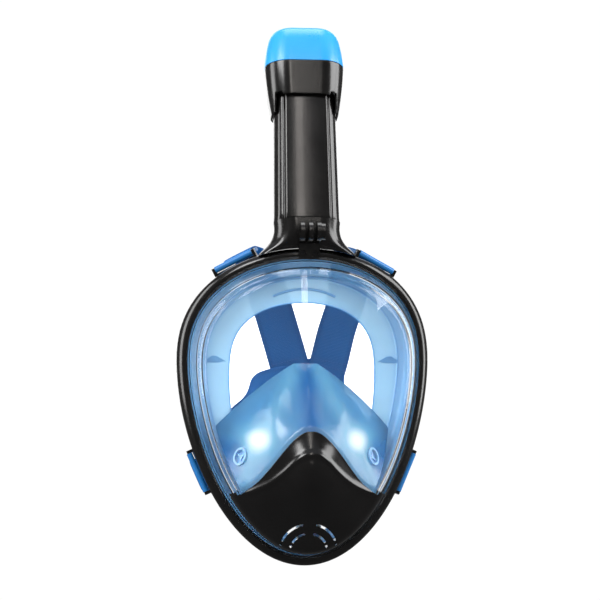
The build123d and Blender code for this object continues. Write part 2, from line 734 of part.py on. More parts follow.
def hinge_bed(barrel):
    """Bar of the rear frame that fills the space between its curve and a buckle's barrel."""
    depth = 3.0
    return Pos(0, 0, -barrel - BARREL_GAP - depth / 2) * Box(2 * BUCKLE_HALF_LENGTH + 3.0, 4.2, depth)


def make_pins():
    return Compound(children=[plane * Rot(0, 90, 0) * Cylinder(PIN_RADIUS - 0.02, 37.0)
                              for _, plane, _ in buckle_places()])


def make_buckle(plane, barrel):
    sheave = Rot(0, 90, 0) * Cylinder(barrel, 2 * BUCKLE_HALF_LENGTH)
    plate = Pos(0, PLATE_LENGTH / 2, 0) * Box(2 * BUCKLE_HALF_LENGTH, PLATE_LENGTH, 2.2)
    plate = fillet(plate.edges().filter_by(Axis.Z).group_by(Axis.Y)[-1], 3.0)
    buckle = sheave + plate
    for y, width in ((9.5, 3.4), (19.9, 3.6)):
        buckle -= Pos(0, y, 0) * Box(26.4, width, 10)
    buckle -= Rot(0, 90, 0) * Cylinder(PIN_RADIUS + 0.08, 60)
    return plane * buckle


def make_tail(plane):
    """End of a strap, folded round the rear bar of its buckle."""
    outer, inner = 18.7, 20.2
    fold = Pos(0, (outer + TAIL_LENGTH) / 2, 0) * Box(TAIL_WIDTH, TAIL_LENGTH - outer, 5.8)
    fold -= Pos(0, (inner + TAIL_LENGTH + 1) / 2, 0) * Box(TAIL_WIDTH + 1, TAIL_LENGTH + 1 - inner, 2.8)
    return plane * fold


# ---------------------------------------------------------------- straps

def strap_route(plane, points):
    """Centre line of one band: two points behind its buckle, then the points given."""
    start = plane.from_local_coords(Vector(0, TAIL_LENGTH + 4.0, 0))
    lead = plane.from_local_coords(Vector(0, TAIL_LENGTH + 16.0, -1.5))
    return [start, lead] + [Vector(*p) for p in points]


def make_band(route, first_width, last_width):
    """Band along a route, turning smoothly from the first direction across it to the last."""
    front, back = ([], []), ([], [])
    count = len(route) - 1
    for k, point in enumerate(route):
        share = k / count
        across = (first_width * (1 - smooth(share)) + last_width * smooth(share)).normalized()
        ahead = (route[min(k + 1, count)] - route[max(k - 1, 0)]).normalized()
        across = (across - ahead * across.dot(ahead)).normalized()
        normal = ahead.cross(across).normalized() * (STRAP_THICKNESS / 2)
        half = (TAIL_WIDTH + (STRAP_WIDTH - TAIL_WIDTH) * smooth(share * 2)) / 2
        for side, sign in ((0, -1), (1, 1)):
            edge = point + across * (half * sign)
            front[side].append(edge + normal)
            back[side].append(edge - normal)
    front, back = [[[tuple(p) for p in row] for row in rows] for rows in (front, back)]
    return ribbon(front, back)


def make_straps():
    bands = {}
    for name, plane, _ in buckle_places():
        level, side = name.split("_")
        sign = -1 if side == "left" else 1
        last = Vector(1, 0, 0.2 * sign) if level == "upper" else Vector(-0.45 * sign, 0, 1) * -sign
        first = plane.x_dir
        if first.dot(last) < 0:
            last = -last
        bands[level + "_strap_" + side] = make_band(strap_route(plane, STRAP_POINTS[name]), first, last)
    return bands


def make_patch():
    """Soft pad that the four bands are sewn to, behind them."""
    pad = extrude(RectangleRounded(62, 58, 14), 1.8)
    return Plane(origin=PATCH_CENTRE, x_dir=(1, 0, 0), z_dir=(0, -1, 0)) * pad


# ---------------------------------------------------------------- all the pieces

def make_all():
    pieces = {
        "front_frame": make_front_frame(),
        "rear_frame": make_rear_frame(),
        "lens": make_lens(),
        "face_skirt": make_skirt(),
        "nose_pocket": make_pocket(),
        "chin_cover": make_chin_cover(),
        "snorkel_socket": make_socket(),
        "socket_seal": make_socket_seal(),
        "camera_mount": make_camera_mount(),
        "camera_nut": make_camera_nut(),
        "mount_screws": make_mount_screws(),
        "buckle_pins": make_pins(),
        "strap_patch": make_patch(),
        "snorkel_tube": make_tube(),
        "tube_gasket": make_gasket(),
        "head_housing": make_head_housing(),
        "head_cap": make_head_cap(),
        "float_seat": make_float_seat(),
        "float_cage": make_float_cage(),
        "float": make_float(),
        "float_seal": make_float_seal(),
        "release_button": make_button(),
    }
    pieces.update(make_straps())
    for name, plane, barrel in buckle_places():
        pieces["buckle_" + name] = make_buckle(plane, barrel)
        pieces["strap_tail_" + name] = make_tail(plane)
    pieces["purge_valve_seat"] = purge_face() * valve_seat(PURGE_RADIUS - 0.15, 1.9)
    pieces["purge_valve_flap"] = purge_face() * valve_flap(PURGE_RADIUS - 1.2)
    for side, sign in (("left", -1), ("right", 1)):
        pieces["inhale_seat_" + side] = inhale_face(sign) * valve_seat(INHALE_RADIUS - 0.15, 0)
        pieces["inhale_flap_" + side] = inhale_face(sign) * valve_flap(INHALE_RADIUS - 0.5)
        pieces["exhale_flap_" + side] = make_exhale_flap(sign)
    return pieces


if __name__ == "__main__":
    for name, piece in make_all().items():
        export_step(piece, "parts/" + name + ".step")
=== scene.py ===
"""Looks of the snorkel mask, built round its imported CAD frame. Shapes are worked out in millimetres."""

import math

import bmesh
import bpy
import numpy as np
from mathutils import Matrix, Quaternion, Vector


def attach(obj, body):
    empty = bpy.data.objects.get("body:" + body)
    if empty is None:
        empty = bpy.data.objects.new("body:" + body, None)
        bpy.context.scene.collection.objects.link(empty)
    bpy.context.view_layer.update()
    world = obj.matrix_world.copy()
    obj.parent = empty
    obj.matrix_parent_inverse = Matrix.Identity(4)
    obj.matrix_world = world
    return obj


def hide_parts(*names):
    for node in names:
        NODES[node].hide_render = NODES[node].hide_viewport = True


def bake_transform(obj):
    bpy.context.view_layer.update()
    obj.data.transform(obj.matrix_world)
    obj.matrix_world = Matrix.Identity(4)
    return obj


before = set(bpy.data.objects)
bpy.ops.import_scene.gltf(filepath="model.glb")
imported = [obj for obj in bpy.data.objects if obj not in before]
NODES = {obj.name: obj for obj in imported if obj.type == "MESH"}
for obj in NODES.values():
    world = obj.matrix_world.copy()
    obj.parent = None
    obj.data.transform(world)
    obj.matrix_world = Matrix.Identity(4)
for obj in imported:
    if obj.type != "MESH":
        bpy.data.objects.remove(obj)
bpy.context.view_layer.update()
SCENE = bpy.context.scene
MM = 0.001

# Rim of the mask, as in the CAD
RIM_HALF_WIDTH = 98.6
WIDEST_Z = 34.5
RIM_TOP, TOP_ROUNDNESS = 88.0, 2.3
RIM_BOTTOM, BOTTOM_ROUNDNESS = 154.8, 1.73
BEND_RADIUS = 150.0
FRONT_Y = -38.0
END_LEAN = 8.0
HALF_HEIGHT = 123.0

# Lens
FACE_CENTRE_Z = 5.0
FACE_INSET = 17.0
FACE_RISE = 18.6
DOME = 8.0
LENS_THICKNESS = 2.2

# Chin cover and its valve
COVER_TOP, COVER_DROP = -13.6, 47.4
COVER_HALF_WIDTH = 56.5      # of the shown cover, which ends lower at its sides than the CAD's
COVER_TURN = 0.79            # how far it goes round the rim from the chin, in radians
MUZZLE_Z = -38.0
PURGE_Z = -91.0
PURGE_HOLE = 10.0
INHALE_HOLE = 7.0
SLOT_Z = -105.3
OUTER_SLOTS, INNER_SLOTS = 21.5, 14.0
SLOT_HALF_WIDTH = 0.85
VENT_RADIUS = 0.95          # of the round holes at the ends of the slots

# Snorkel
LEAN = math.radians(16.0)
JOINT = np.array((0.0, -15.0, 141.0))
TUBE_LENGTH = 104.0
TUBE_TAPER = 0.945
HEAD_START = 87.0
HEAD_SPLIT = 126.0
HEAD_WALL = 1.7

# Straps
PATCH_X, PATCH_Y, PATCH_Z = 16.0, 120.7, 2.0     # middle of the patch's front face in the CAD
PATCH_BACK = 2.15

RING = np.linspace(0, 2 * math.pi, 208, endpoint=False)


# ---------------------------------------------------------------- shapes of the CAD

def smooth(a):
    a = np.clip(a, 0.0, 1.0)
    return a * a * (3 - 2 * a)


def outline(t):
    c = np.cos(t)
    reach = np.where(c >= 0, RIM_TOP, RIM_BOTTOM)
    power = np.where(c >= 0, 2 / TOP_ROUNDNESS, 2 / BOTTOM_ROUNDNESS)
    return RIM_HALF_WIDTH * np.sin(t), WIDEST_Z + np.sign(c) * reach * np.abs(c) ** power


def inset(t, u):
    """Point at the distance u inside the rim's outer edge; t is 0 at the top and pi at the chin."""
    step = 1e-4
    x, z = outline(t)
    x0, z0 = outline(t - step)
    x1, z1 = outline(t + step)
    length = np.hypot(x1 - x0, z1 - z0)
    return x + (z1 - z0) / length * u, z - (x1 - x0) / length * u


def front_y(x, z):
    return FRONT_Y + BEND_RADIUS - np.sqrt(BEND_RADIUS**2 - x * x) + END_LEAN * (z / HALF_HEIGHT) ** 2


def stack(x, y, z):
    return np.stack(np.broadcast_arrays(x, y, z), axis=-1).astype(float)


def rim_ring(u, w, t=RING):
    """Ring at the inset u and the depth w behind the rim's front edge."""
    x, z = inset(t, u)
    return stack(x, front_y(x, z) + w, z)


def face_depth(x, z, s):
    nose = np.exp(-((x / 30.0) ** 2) - ((z + 52.0) / 27.0) ** 2)
    return front_y(x, z) - FACE_RISE - DOME * s * (2 - s) - 10.0 * nose * smooth(s / 0.3)


def face_ring(s, lift=0.0, t=RING):
    ex, ez = inset(t, FACE_INSET)
    x, z = ex * (1 - s), ez + (FACE_CENTRE_Z - ez) * s
    return stack(x, face_depth(x, z, s) - lift, z)


def lens_y(x, z):
    """Depth of the lens's outer surface at points of its face."""
    x, z = np.broadcast_arrays(np.asarray(x, float), np.asarray(z, float))
    aim = np.arctan2(np.abs(x), z - FACE_CENTRE_Z)
    low, high = np.zeros(x.shape), np.full(x.shape, math.pi)
    for _ in range(34):
        t = (low + high) / 2
        ex, ez = inset(t, FACE_INSET)
        below = np.arctan2(ex, ez - FACE_CENTRE_Z) < aim
        low, high = np.where(below, t, low), np.where(below, high, t)
    ex, ez = inset(low, FACE_INSET)
    share = 1 - np.hypot(x, z - FACE_CENTRE_Z) / np.hypot(ex, ez - FACE_CENTRE_Z)
    return face_depth(x, z, np.maximum(share, 0.0))


def opening(t):
    """Edge of the skirt that lies on the face."""
    c = np.cos(t)
    reach, power = np.where(c >= 0, 60.0, 124.0), np.where(c >= 0, 2 / 3.2, 2 / 1.75)
    x, z = 56.4 * np.sin(t), 20.0 + np.sign(c) * reach * np.abs(c) ** power
    return stack(x, -6.0 + 0.0052 * x * x + 4.0 * (z / 100.0) ** 2, z)


def cover_line(x):
    """Height of the chin cover's upper edge at x."""
    return COVER_TOP - COVER_DROP * smooth((np.abs(x) - 1.0) / 52.0)


def tube_point(x, y, along):
    """Point of the snorkel from its own across, front-to-back and lengthways distances."""
    x, y, along = np.broadcast_arrays(x, y, along)
    lean, rise = math.sin(LEAN), math.cos(LEAN)
    return stack(JOINT[0] + x, JOINT[1] + y * rise + along * lean, JOINT[2] - y * lean + along * rise)


# ---------------------------------------------------------------- meshes

def toward(ring, other, distance):
    gap = other - ring
    length = np.linalg.norm(gap, axis=-1, keepdims=True)
    return ring + gap * np.minimum(distance / np.maximum(length, 1e-6), 0.48)


def rounded(rings, cuts, closed, steps=4):
    """The rings with each corner that has a cut distance turned into a small curve."""
    made = []
    count = len(rings)
    for k, (ring, cut) in enumerate(zip(rings, cuts)):
        inside = closed or 0 < k < count - 1
        if not cut or not inside:
            made.append(ring)
            continue
        a, b = toward(ring, rings[k - 1], cut), toward(ring, rings[(k + 1) % count], cut)
        for s in np.linspace(0, 1, steps + 1):
            made.append(a * (1 - s) ** 2 + 2 * ring * s * (1 - s) + b * s * s)
    return np.array(made)


def net_faces(rows, columns, wrap_rows, wrap_columns):
    faces = []
    for r in range(rows if wrap_rows else rows - 1):
        for c in range(columns if wrap_columns else columns - 1):
            r1, c1 = (r + 1) % rows, (c + 1) % columns
            faces.append((r * columns + c, r * columns + c1, r1 * columns + c1, r1 * columns + c))
    return faces


def add_mesh(name, points, faces, material, body=None, sharp=40.0, uvs=None):
    """New mesh object from points in millimetres, its faces turned outwards and shaded smooth."""
    mesh = bpy.data.meshes.new(name)
    mesh.from_pydata((np.asarray(points) * MM).tolist(), [], faces)
    if uvs is not None:
        layer = mesh.uv_layers.new(name="cloth")
        for loop, entry in zip(mesh.loops, layer.data):
            entry.uv = uvs[loop.vertex_index]
    turn_outwards(mesh)
    mesh.polygons.foreach_set("use_smooth", [True] * len(mesh.polygons))
    if sharp:
        mesh.set_sharp_from_angle(angle=math.radians(sharp))
    obj = bpy.data.objects.new(name, mesh)
    SCENE.collection.objects.link(obj)
    if material:
        mesh.materials.append(material)
    if body:
        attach(obj, body)
    return obj


def turn_outwards(mesh):
    work = bmesh.new()
    work.from_mesh(mesh)
    bmesh.ops.recalc_face_normals(work, faces=work.faces)
    work.to_mesh(mesh)
    work.free()


def net(name, grid, material, body=None, wrap_rows=True, wrap_columns=True, caps=(), **options):
    """Object from a grid of points. caps says which open sides get a flat end."""
    grid = np.asarray(grid)
    rows, columns = grid.shape[:2]
    faces = net_faces(rows, columns, wrap_rows, wrap_columns)
    index = np.arange(rows * columns).reshape(rows, columns)
    sides = {"first_row": index[0], "last_row": index[-1],
             "first_column": index[:, 0], "last_column": index[:, -1]}
    faces += [tuple(int(i) for i in sides[cap]) for cap in caps]
    return add_mesh(name, grid.reshape(-1, 3), faces, material, body, **options)


def carve(obj, cutter, operation="DIFFERENCE"):
    """Boolean of two meshes, worked out at once; the cutter goes away."""
    modifier = obj.modifiers.new("carve", "BOOLEAN")
    modifier.operation = operation
    modifier.solver = "EXACT"
    modifier.object = cutter
    graph = bpy.context.evaluated_depsgraph_get()
    mesh = bpy.data.meshes.new_from_object(obj.evaluated_get(graph))
    obj.modifiers.clear()
    obj.data = mesh
    mesh.set_sharp_from_angle(angle=math.radians(38))
    bpy.data.objects.remove(cutter)


def joined(parts):
    """Points and faces of several shapes as one."""
    points, faces, start = [], [], 0
    for p, f in parts:
        points.append(np.asarray(p, float).reshape(-1, 3))
        faces += [tuple(i + start for i in face) for face in f]
        start += len(points[-1])
    return np.concatenate(points), faces


def tube_along(path, radius, closed=False, sides=10, squash=1.0):
    """Points and faces of a round bead along a path of points."""
    path = np.asarray(path, float)
    ahead = np.roll(path, -1, 0) - np.roll(path, 1, 0)
    if not closed:
        ahead[0], ahead[-1] = path[1] - path[0], path[-1] - path[-2]
    ahead /= np.linalg.norm(ahead, axis=1, keepdims=True)
    side = np.cross(ahead, (0.0, 1.0, 0.0))
    side /= np.maximum(np.linalg.norm(side, axis=1, keepdims=True), 1e-6)
    up = np.cross(side, ahead)
    turn = np.linspace(0, 2 * math.pi, sides, endpoint=False)[:, None, None]
    rows = path + radius * (np.cos(turn) * side + squash * np.sin(turn) * up)
    rows = rows.transpose(1, 0, 2)
    faces = net_faces(len(path), sides, closed, True)
    if not closed:
        last = (len(path) - 1) * sides
        faces += [tuple(range(sides)), tuple(range(last, last + sides))]
    return rows.reshape(-1, 3), faces


def prism(outline_points, frame_point, frame_x, frame_y, depth_back, depth_front):
    """Flat shape, given in its own plane, made thick both ways along the plane's normal."""
    x_dir, y_dir = np.asarray(frame_x, float), np.asarray(frame_y, float)
    normal = np.cross(x_dir, y_dir)
    flat = [np.asarray(frame_point) + x_dir * a + y_dir * b for a, b in outline_points]
    count = len(flat)
    points = [p - normal * depth_back for p in flat] + [p + normal * depth_front for p in flat]
    faces = [(k, (k + 1) % count, (k + 1) % count + count, k + count) for k in range(count)]
    return np.array(points), faces + [tuple(range(count)), tuple(range(count, 2 * count))]


def arc(radius, turn, centre=(0.0, 0.0)):
    return [(centre[0] + radius * math.cos(a), centre[1] + radius * math.sin(a)) for a in turn]


def disc(radius, count, centre=(0.0, 0.0)):
    """Points of a circle."""
    return arc(radius, np.linspace(0, 2 * math.pi, count, endpoint=False), centre)


def oval(width, depth, corner, arc=16, flat=8):
    """Points of a rounded rectangle, always as many, starting at the middle of its right side."""
    points = []
    a, b = width / 2 - corner, depth / 2 - corner
    for quarter, (sx, sy) in enumerate(((1, 1), (-1, 1), (-1, -1), (1, -1))):
        turn = np.linspace(0, math.pi / 2, arc, endpoint=False) + quarter * math.pi / 2
        points += [(sx * a + corner * math.cos(q), sy * b + corner * math.sin(q)) for q in turn]
        corner_end = (sx * a + corner * math.cos(turn[-1] + math.pi / 2 / arc),
                      sy * b + corner * math.sin(turn[-1] + math.pi / 2 / arc))
        nx, ny = ((-1, 1), (-1, -1), (1, -1), (1, 1))[quarter]
        after = (nx * a + corner * math.cos((quarter + 1) * math.pi / 2),
                 ny * b + corner * math.sin((quarter + 1) * math.pi / 2))
        for s in np.linspace(0, 1, flat, endpoint=False):
            points.append((corner_end[0] + (after[0] - corner_end[0]) * s,
                           corner_end[1] + (after[1] - corner_end[1]) * s))
    return np.array(points)


# ---------------------------------------------------------------- materials

class Look:
    """A procedural material under construction."""

    def __init__(self, name, colour, roughness, **settings):
        self.made = bpy.data.materials.new(name)
        self.made.use_nodes = True
        self.tree = self.made.node_tree
        self.shader = self.tree.nodes["Principled BSDF"]
        self.place = self.add("ShaderNodeTexCoord").outputs["Object"]
        self.set("Base Color", (*colour, 1.0))
        self.set("Roughness", roughness)
        for key, value in settings.items():
            self.set(key.replace("_", " "), value)

    def set(self, socket, value):
        if isinstance(value, bpy.types.NodeSocket):
            self.tree.links.new(value, self.shader.inputs[socket])
        else:
            self.shader.inputs[socket].default_value = value

    def add(self, kind, settings=None, **sockets):
        node = self.tree.nodes.new(kind)
        for key, value in (settings or {}).items():
            setattr(node, key, value)
        for key, value in sockets.items():
            socket = node.inputs[int(key[1:])] if key[0] == "n" and key[1:].isdigit() else node.inputs[key]
            if isinstance(value, bpy.types.NodeSocket):
                self.tree.links.new(value, socket)
            else:
                socket.default_value = value
        return node

    def noise(self, scale, detail=2.0, rough=0.5, place=None):
        return self.add("ShaderNodeTexNoise", Vector=place or self.place, Scale=scale,
                        Detail=detail, Roughness=rough).outputs["Fac"]

    def ramp(self, value, low, high, start=0.3, end=0.7):
        node = self.add("ShaderNodeMapRange", n0=value)
        for k, number in enumerate((start, end, low, high)):
            node.inputs[k + 1].default_value = number
        return node.outputs[0]

    def mix(self, share, first, second):
        node = self.add("ShaderNodeMix", {"data_type": "RGBA"})
        for socket, value in ((0, share), (6, first), (7, second)):
            if isinstance(value, bpy.types.NodeSocket):
                self.tree.links.new(value, node.inputs[socket])
            else:
                node.inputs[socket].default_value = value if socket == 0 else (*value, 1.0)
        return node.outputs[2]

    def maths(self, operation, a, b=0.0):
        return self.add("ShaderNodeMath", {"operation": operation}, n0=a, n1=b).outputs[0]

    def bump(self, height, distance, strength=1.0):
        self.set("Normal", self.add("ShaderNodeBump", Height=height, Distance=distance,
                                    Strength=strength).outputs[0])

    def mixed(self, other, share):
        """The shader with a share of another one laid into it."""
        blend = self.add("ShaderNodeMixShader", n0=share)
        self.tree.links.new(self.shader.outputs[0], blend.inputs[1])
        self.tree.links.new(other.outputs[0], blend.inputs[2])
        self.tree.links.new(blend.outputs[0], self.tree.nodes["Material Output"].inputs["Surface"])
        return self.made

    def moulded(self, colour, tint, rough_low, rough_high, grain=0.00002):
        """Moulded plastic: a slow drift of colour and gloss, fine grain and slight unevenness."""
        self.set("Base Color", self.mix(self.ramp(self.noise(38.0, 4.0), 0.0, 1.0), colour, tint))
        gloss = self.maths("ADD", self.maths("MULTIPLY", self.noise(55.0, 5.0, 0.6), 0.7),
                           self.maths("MULTIPLY", self.noise(900.0, 2.0), 0.3))
        self.set("Roughness", self.ramp(gloss, rough_low, rough_high))
        height = self.maths("ADD", self.maths("MULTIPLY", self.noise(22.0, 1.0), 6.0),
                            self.noise(1500.0, 3.0))
        self.bump(height, grain)
        return self.made


def shade(red, green, blue):
    """Linear colour from the usual 0 to 255 values."""
    return tuple(((c / 255 + 0.055) / 1.055) ** 2.4 if c > 10 else c / 255 / 12.92
                 for c in (red, green, blue))


BLACK = Look("black_gloss", (0, 0, 0), 0.2, Coat_Weight=0.25, Coat_Roughness=0.12).moulded(
    shade(15, 14, 14), shade(21, 20, 19), 0.15, 0.27)
COVER_BLACK = Look("cover_plastic", (0, 0, 0), 0.3, Coat_Weight=0.2, Coat_Roughness=0.2).moulded(
    shade(15, 14, 14), shade(20, 19, 19), 0.14, 0.24)
BLUE = Look("blue_plastic", (0, 0, 0), 0.3, Coat_Weight=0.2, Coat_Roughness=0.2,
            Subsurface_Weight=0.08, Subsurface_Scale=0.002).moulded(
    shade(38, 160, 240), shade(46, 168, 245), 0.26, 0.38)
BUCKLE_BLUE = Look("buckle_plastic", (0, 0, 0), 0.3, Coat_Weight=0.15, Coat_Roughness=0.25).moulded(
    shade(30, 118, 190), shade(38, 126, 200), 0.28, 0.4)
RUBBER = Look("black_rubber", (0, 0, 0), 0.6).moulded(
    shade(20, 20, 21), shade(27, 27, 28), 0.55, 0.7, 0.00005)
GREY_PLASTIC = Look("inner_plastic", (0, 0, 0), 0.35).moulded(
    shade(196, 200, 204), shade(206, 209, 212), 0.3, 0.45)
FOAM_BLUE = Look("float_plastic", (0, 0, 0), 0.5).moulded(
    shade(60, 140, 210), shade(70, 150, 216), 0.45, 0.6, 0.00006)


def steel(name, dark, light):
    look = Look(name, dark, 0.28, Metallic=1.0)
    stretched = look.add("ShaderNodeMapping", Vector=look.place)
    stretched.inputs["Scale"].default_value = (1.0, 1.0, 14.0)
    lines = look.noise(1200.0, 3.0, 0.6, stretched.outputs[0])
    look.set("Roughness", look.ramp(lines, 0.2, 0.38))
    look.set("Base Color", look.mix(look.noise(90.0, 3.0), dark, light))
    look.bump(lines, 0.00001)
    return look.made


def clear_plastic():
    """Polycarbonate that lets the lamps through, with faint unevenness of gloss."""
    look = Look("clear_lens", (1.0, 1.0, 1.0), 0.02, Transmission_Weight=1.0, IOR=1.36)
    look.set("Base Color", look.mix(look.noise(30.0, 2.0), (0.955, 0.975, 0.99), (0.985, 0.992, 1.0)))
    look.set("Roughness", look.ramp(look.noise(140.0, 5.0, 0.65), 0.008, 0.04))
    see_through = look.add("ShaderNodeBsdfTransparent", Color=(0.93, 0.96, 0.98, 1.0))
    return look.mixed(see_through, look.add("ShaderNodeLightPath").outputs["Is Shadow Ray"])


def silicone(name, pale, deep, softness, open_share, roughness):
    """Soft silicone that lets some sight through. Its tint attribute goes from pale at 0 to deep at 1,
    and to near white at -1, which is a painted highlight."""
    look = Look(name, pale, roughness, Subsurface_Weight=softness, Subsurface_Scale=0.003,
                Coat_Weight=0.4, Coat_Roughness=roughness)
    tint = look.add("ShaderNodeAttribute", {"attribute_name": "tint"}).outputs["Fac"]
    cloud = look.ramp(look.noise(14.0, 1.0), -0.03, 0.03)
    share = look.add("ShaderNodeClamp", Value=look.maths("ADD", tint, cloud)).outputs[0]
    # painted highlight: a negative tint turns the colour toward near white
    painted_sheen = look.add("ShaderNodeClamp", Value=look.maths("MULTIPLY", tint, -1.0)).outputs[0]
    look.set("Base Color", look.mix(painted_sheen, look.mix(share, pale, deep), shade(225, 234, 240)))
    look.set("Roughness", look.ramp(look.noise(200.0, 4.0), roughness - 0.05, roughness + 0.06))
    look.bump(look.noise(26.0, 1.0), 0.00004)
    clear = look.add("ShaderNodeBsdfTransparent", Color=(*(0.5 + 0.5 * c for c in pale), 1.0))
    return look.mixed(clear, look.ramp(look.noise(12.0, 1.0), open_share - 0.03, open_share + 0.03))


def webbing():
    """Woven elastic: ribs across the band every 1.3 mm, yarns along it, a darker selvedge, and painted shade
    in the weave's grooves.
    """
    look = Look("strap_fabric", shade(40, 100, 165), 0.8, Specular_IOR_Level=0.15)
    place = look.add("ShaderNodeUVMap", {"uv_map": "cloth"}).outputs[0]
    split = look.add("ShaderNodeSeparateXYZ", n0=place)
    length, across = split.outputs[0], split.outputs[1]

    def wave(value, pitch):
        turned = look.maths("MULTIPLY", value, 2 * math.pi / pitch)
        return look.maths("ADD", look.maths("MULTIPLY", look.maths("SINE", turned), 0.5), 0.5)

    wobble = look.maths("MULTIPLY", look.noise(300.0, 2.0), 0.5)
    ribs = wave(look.maths("ADD", length, wobble), 1.3)
    yarns = wave(across, 0.85)
    height = look.maths("ADD", look.maths("MULTIPLY", ribs, 0.65), look.maths("MULTIPLY", yarns, 0.35))
    fuzz = look.noise(2500.0, 3.0, 0.7)
    edge = look.ramp(look.maths("ABSOLUTE", across), 0.0, 1.0, 12.6, 13.4)
    # painted shade: darker in the weave's grooves and lighter on its raised ribs and yarns, by the bump
    # height
    colour = look.mix(height, shade(10, 78, 142), shade(34, 118, 190))
    colour = look.mix(look.maths("MULTIPLY", look.ramp(look.noise(45.0, 3.0), 0.0, 1.0), 0.25),
                      colour, shade(20, 98, 168))
    colour = look.mix(look.maths("MULTIPLY", edge, 0.5), colour, shade(14, 78, 140))
    look.set("Base Color", colour)
    look.set("Roughness", look.ramp(fuzz, 0.68, 0.85))
    look.bump(look.maths("ADD", height, look.maths("MULTIPLY", fuzz, 0.4)), 0.00016)
    return look.made


def thread():
    look = Look("stitching", shade(32, 92, 160), 0.6)
    look.set("Base Color", look.mix(look.noise(2000.0, 2.0), shade(24, 74, 140), shade(52, 116, 184)))
    look.bump(look.noise(3000.0, 2.0), 0.00008)
    return look.made


LENS = clear_plastic()
SKIRT = silicone("blue_silicone", shade(168, 212, 234), shade(44, 142, 212), 0.1, 0.25, 0.45)
POCKET = silicone("pocket_silicone", shade(100, 160, 188), shade(6, 88, 148), 0.1, 0.3, 0.2)
CLEAR_RUBBER = silicone("clear_silicone", shade(150, 195, 230), shade(120, 175, 220), 0.3, 0.4, 0.3)
FABRIC = webbing()
THREAD = thread()
STEEL = steel("brushed_steel", shade(176, 179, 183), shade(214, 216, 218))
DARK_STEEL = steel("dark_steel", shade(60, 60, 62), shade(84, 84, 86))


def set_tint(obj, values):
    attribute = obj.data.attributes.new("tint", "FLOAT", "POINT")
    attribute.data.foreach_set("value", np.asarray(values, np.float32))


# ---------------------------------------------------------------- frame ring and lens

def make_ring():
    section = ((0, 12), (0, 4.6), (0.7, 2.2), (2.3, 0.65), (4.2, 0.05), (6.2, 0.4), (7.4, 1.3),
               (8.3, 2.0), (8.3, 3.0), (2.6, 3.0), (2.6, 12))
    cuts = (0.5, 2.0, 1.2, 1.2, 1.2, 1.0, 0.3, 0.35, 0.2, 0.3, 0.3)
    grid = rounded([rim_ring(u, w) for u, w in section], cuts, closed=True)
    ring = net("front_ring", grid, BLACK, "mask")
    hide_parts("front_frame")


def make_lens():
    section = ((2.9, 3.3), (8.7, 3.3), (9.3, 1.2), (12.9, -11.0), (14.6, -16.0))
    shares = (0.03, 0.07, 0.12, 0.18, 0.25, 0.32, 0.4, 0.48, 0.56, 0.64, 0.72, 0.8, 0.88, 0.94, 0.99)
    outer = [rim_ring(u, w) for u, w in section] + [face_ring(0.0)]
    outer += [face_ring(s) for s in shares]
    cuts = [0.2, 0.25, 0.9, 4.0, 2.4, 1.6] + [0.0] * len(shares)
    outer = rounded(outer, cuts, closed=False)
    section = ((2.9, 5.4), (10.9, 5.4), (11.5, 2.4), (15.1, -9.6), (16.6, -14.2))
    first = face_ring(0.0)
    first = stack(first[:, 0] * 0.978, first[:, 1] + 2.3,
                  FACE_CENTRE_Z + (first[:, 2] - FACE_CENTRE_Z) * 0.982)
    inner = [rim_ring(u, w) for u, w in section] + [first]
    inner += [face_ring(s, -LENS_THICKNESS) for s in shares]
    inner = rounded(inner, cuts, closed=False)
    grid = np.concatenate((outer[::-1], inner))
    lens = net("lens_shell", grid, LENS, wrap_rows=False, caps=("first_row", "last_row"), sharp=60)
    y = float(lens_y(0.0, PURGE_Z))
    slope = float(lens_y(0.0, PURGE_Z + 2) - lens_y(0.0, PURGE_Z - 2)) / 4
    normal = np.array((0.0, -1.0, slope)) / math.hypot(1.0, slope)
    upward = np.cross(normal, (1, 0, 0))
    hole = prism(disc(PURGE_HOLE, 64), (0.0, y, PURGE_Z), (1, 0, 0), upward, 10, 10)
    carve(lens, add_mesh("purge_hole", *hole, None))
    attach(lens, "mask")
    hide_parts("lens")


# ---------------------------------------------------------------- soft skirt

def flange_ring(share, lift=0.0, t=RING):
    x, z = inset(t, 20.0)
    fold = stack(x, front_y(x, z) + 33.0, z)
    point = fold + (opening(t) - fold) * share
    point[:, 1] -= lift
    return point


def make_skirt():
    wall = ((2.9, 5.7), (2.9, 8.8), (10.2, 8.8), (11.4, 12.0), (11.2, 13.2), (12.6, 18.0),
            (13.4, 27.0), (16.0, 32.5))
    rings = [rim_ring(u, w) for u, w in wall]
    tints = [0.7, 0.7, 0.6, 0.55, 0.7, 0.5, 0.55, 0.5]
    cuts = [0.3, 0.3, 0.8, 0.5, 0.5, 1.5, 4.0, 2.5]
    flange = ((0.0, 0.0, 0.45, 2.0), (0.1, 0.25, 0.55, 1.0), (0.16, 0.0, 0.25, 1.0), (0.5, 0.0, 0.12, 3.0),
              (0.85, -0.1, 0.1, 2.0), (0.95, 0.3, 0.5, 0.6), (1.0, 0.0, 0.95, 0.5), (1.0, 1.8, 0.95, 0.6),
              (0.955, 2.3, 0.7, 0.5), (0.93, 1.8, 0.2, 0.5), (0.5, 1.8, 0.12, 3.0), (0.18, 1.9, 0.3, 1.0),
              (0.13, 2.7, 0.75, 0.6), (0.08, 1.9, 0.5, 0.8))
    for share, lift, tint, cut in flange:
        rings.append(flange_ring(share, lift))
        tints.append(tint)
        cuts.append(cut)
    for (u, w), tint in zip(((17.2, 30.4), (15.3, 26.3), (14.4, 17.4), (12.4, 5.7)),
                            (0.5, 0.5, 0.55, 0.7)):
        rings.append(rim_ring(u, w))
        tints.append(tint)
        cuts.append(1.2)
    steps = 3
    grid = rounded(rings, cuts, closed=True, steps=steps)
    spread = []
    for tint, cut in zip(tints, cuts):
        spread += [tint] * (steps + 1 if cut else 1)
    skirt = net("skirt", grid, SKIRT, "mask", sharp=60)
    set_tint(skirt, np.repeat(spread, grid.shape[1]))
    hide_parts("face_skirt")


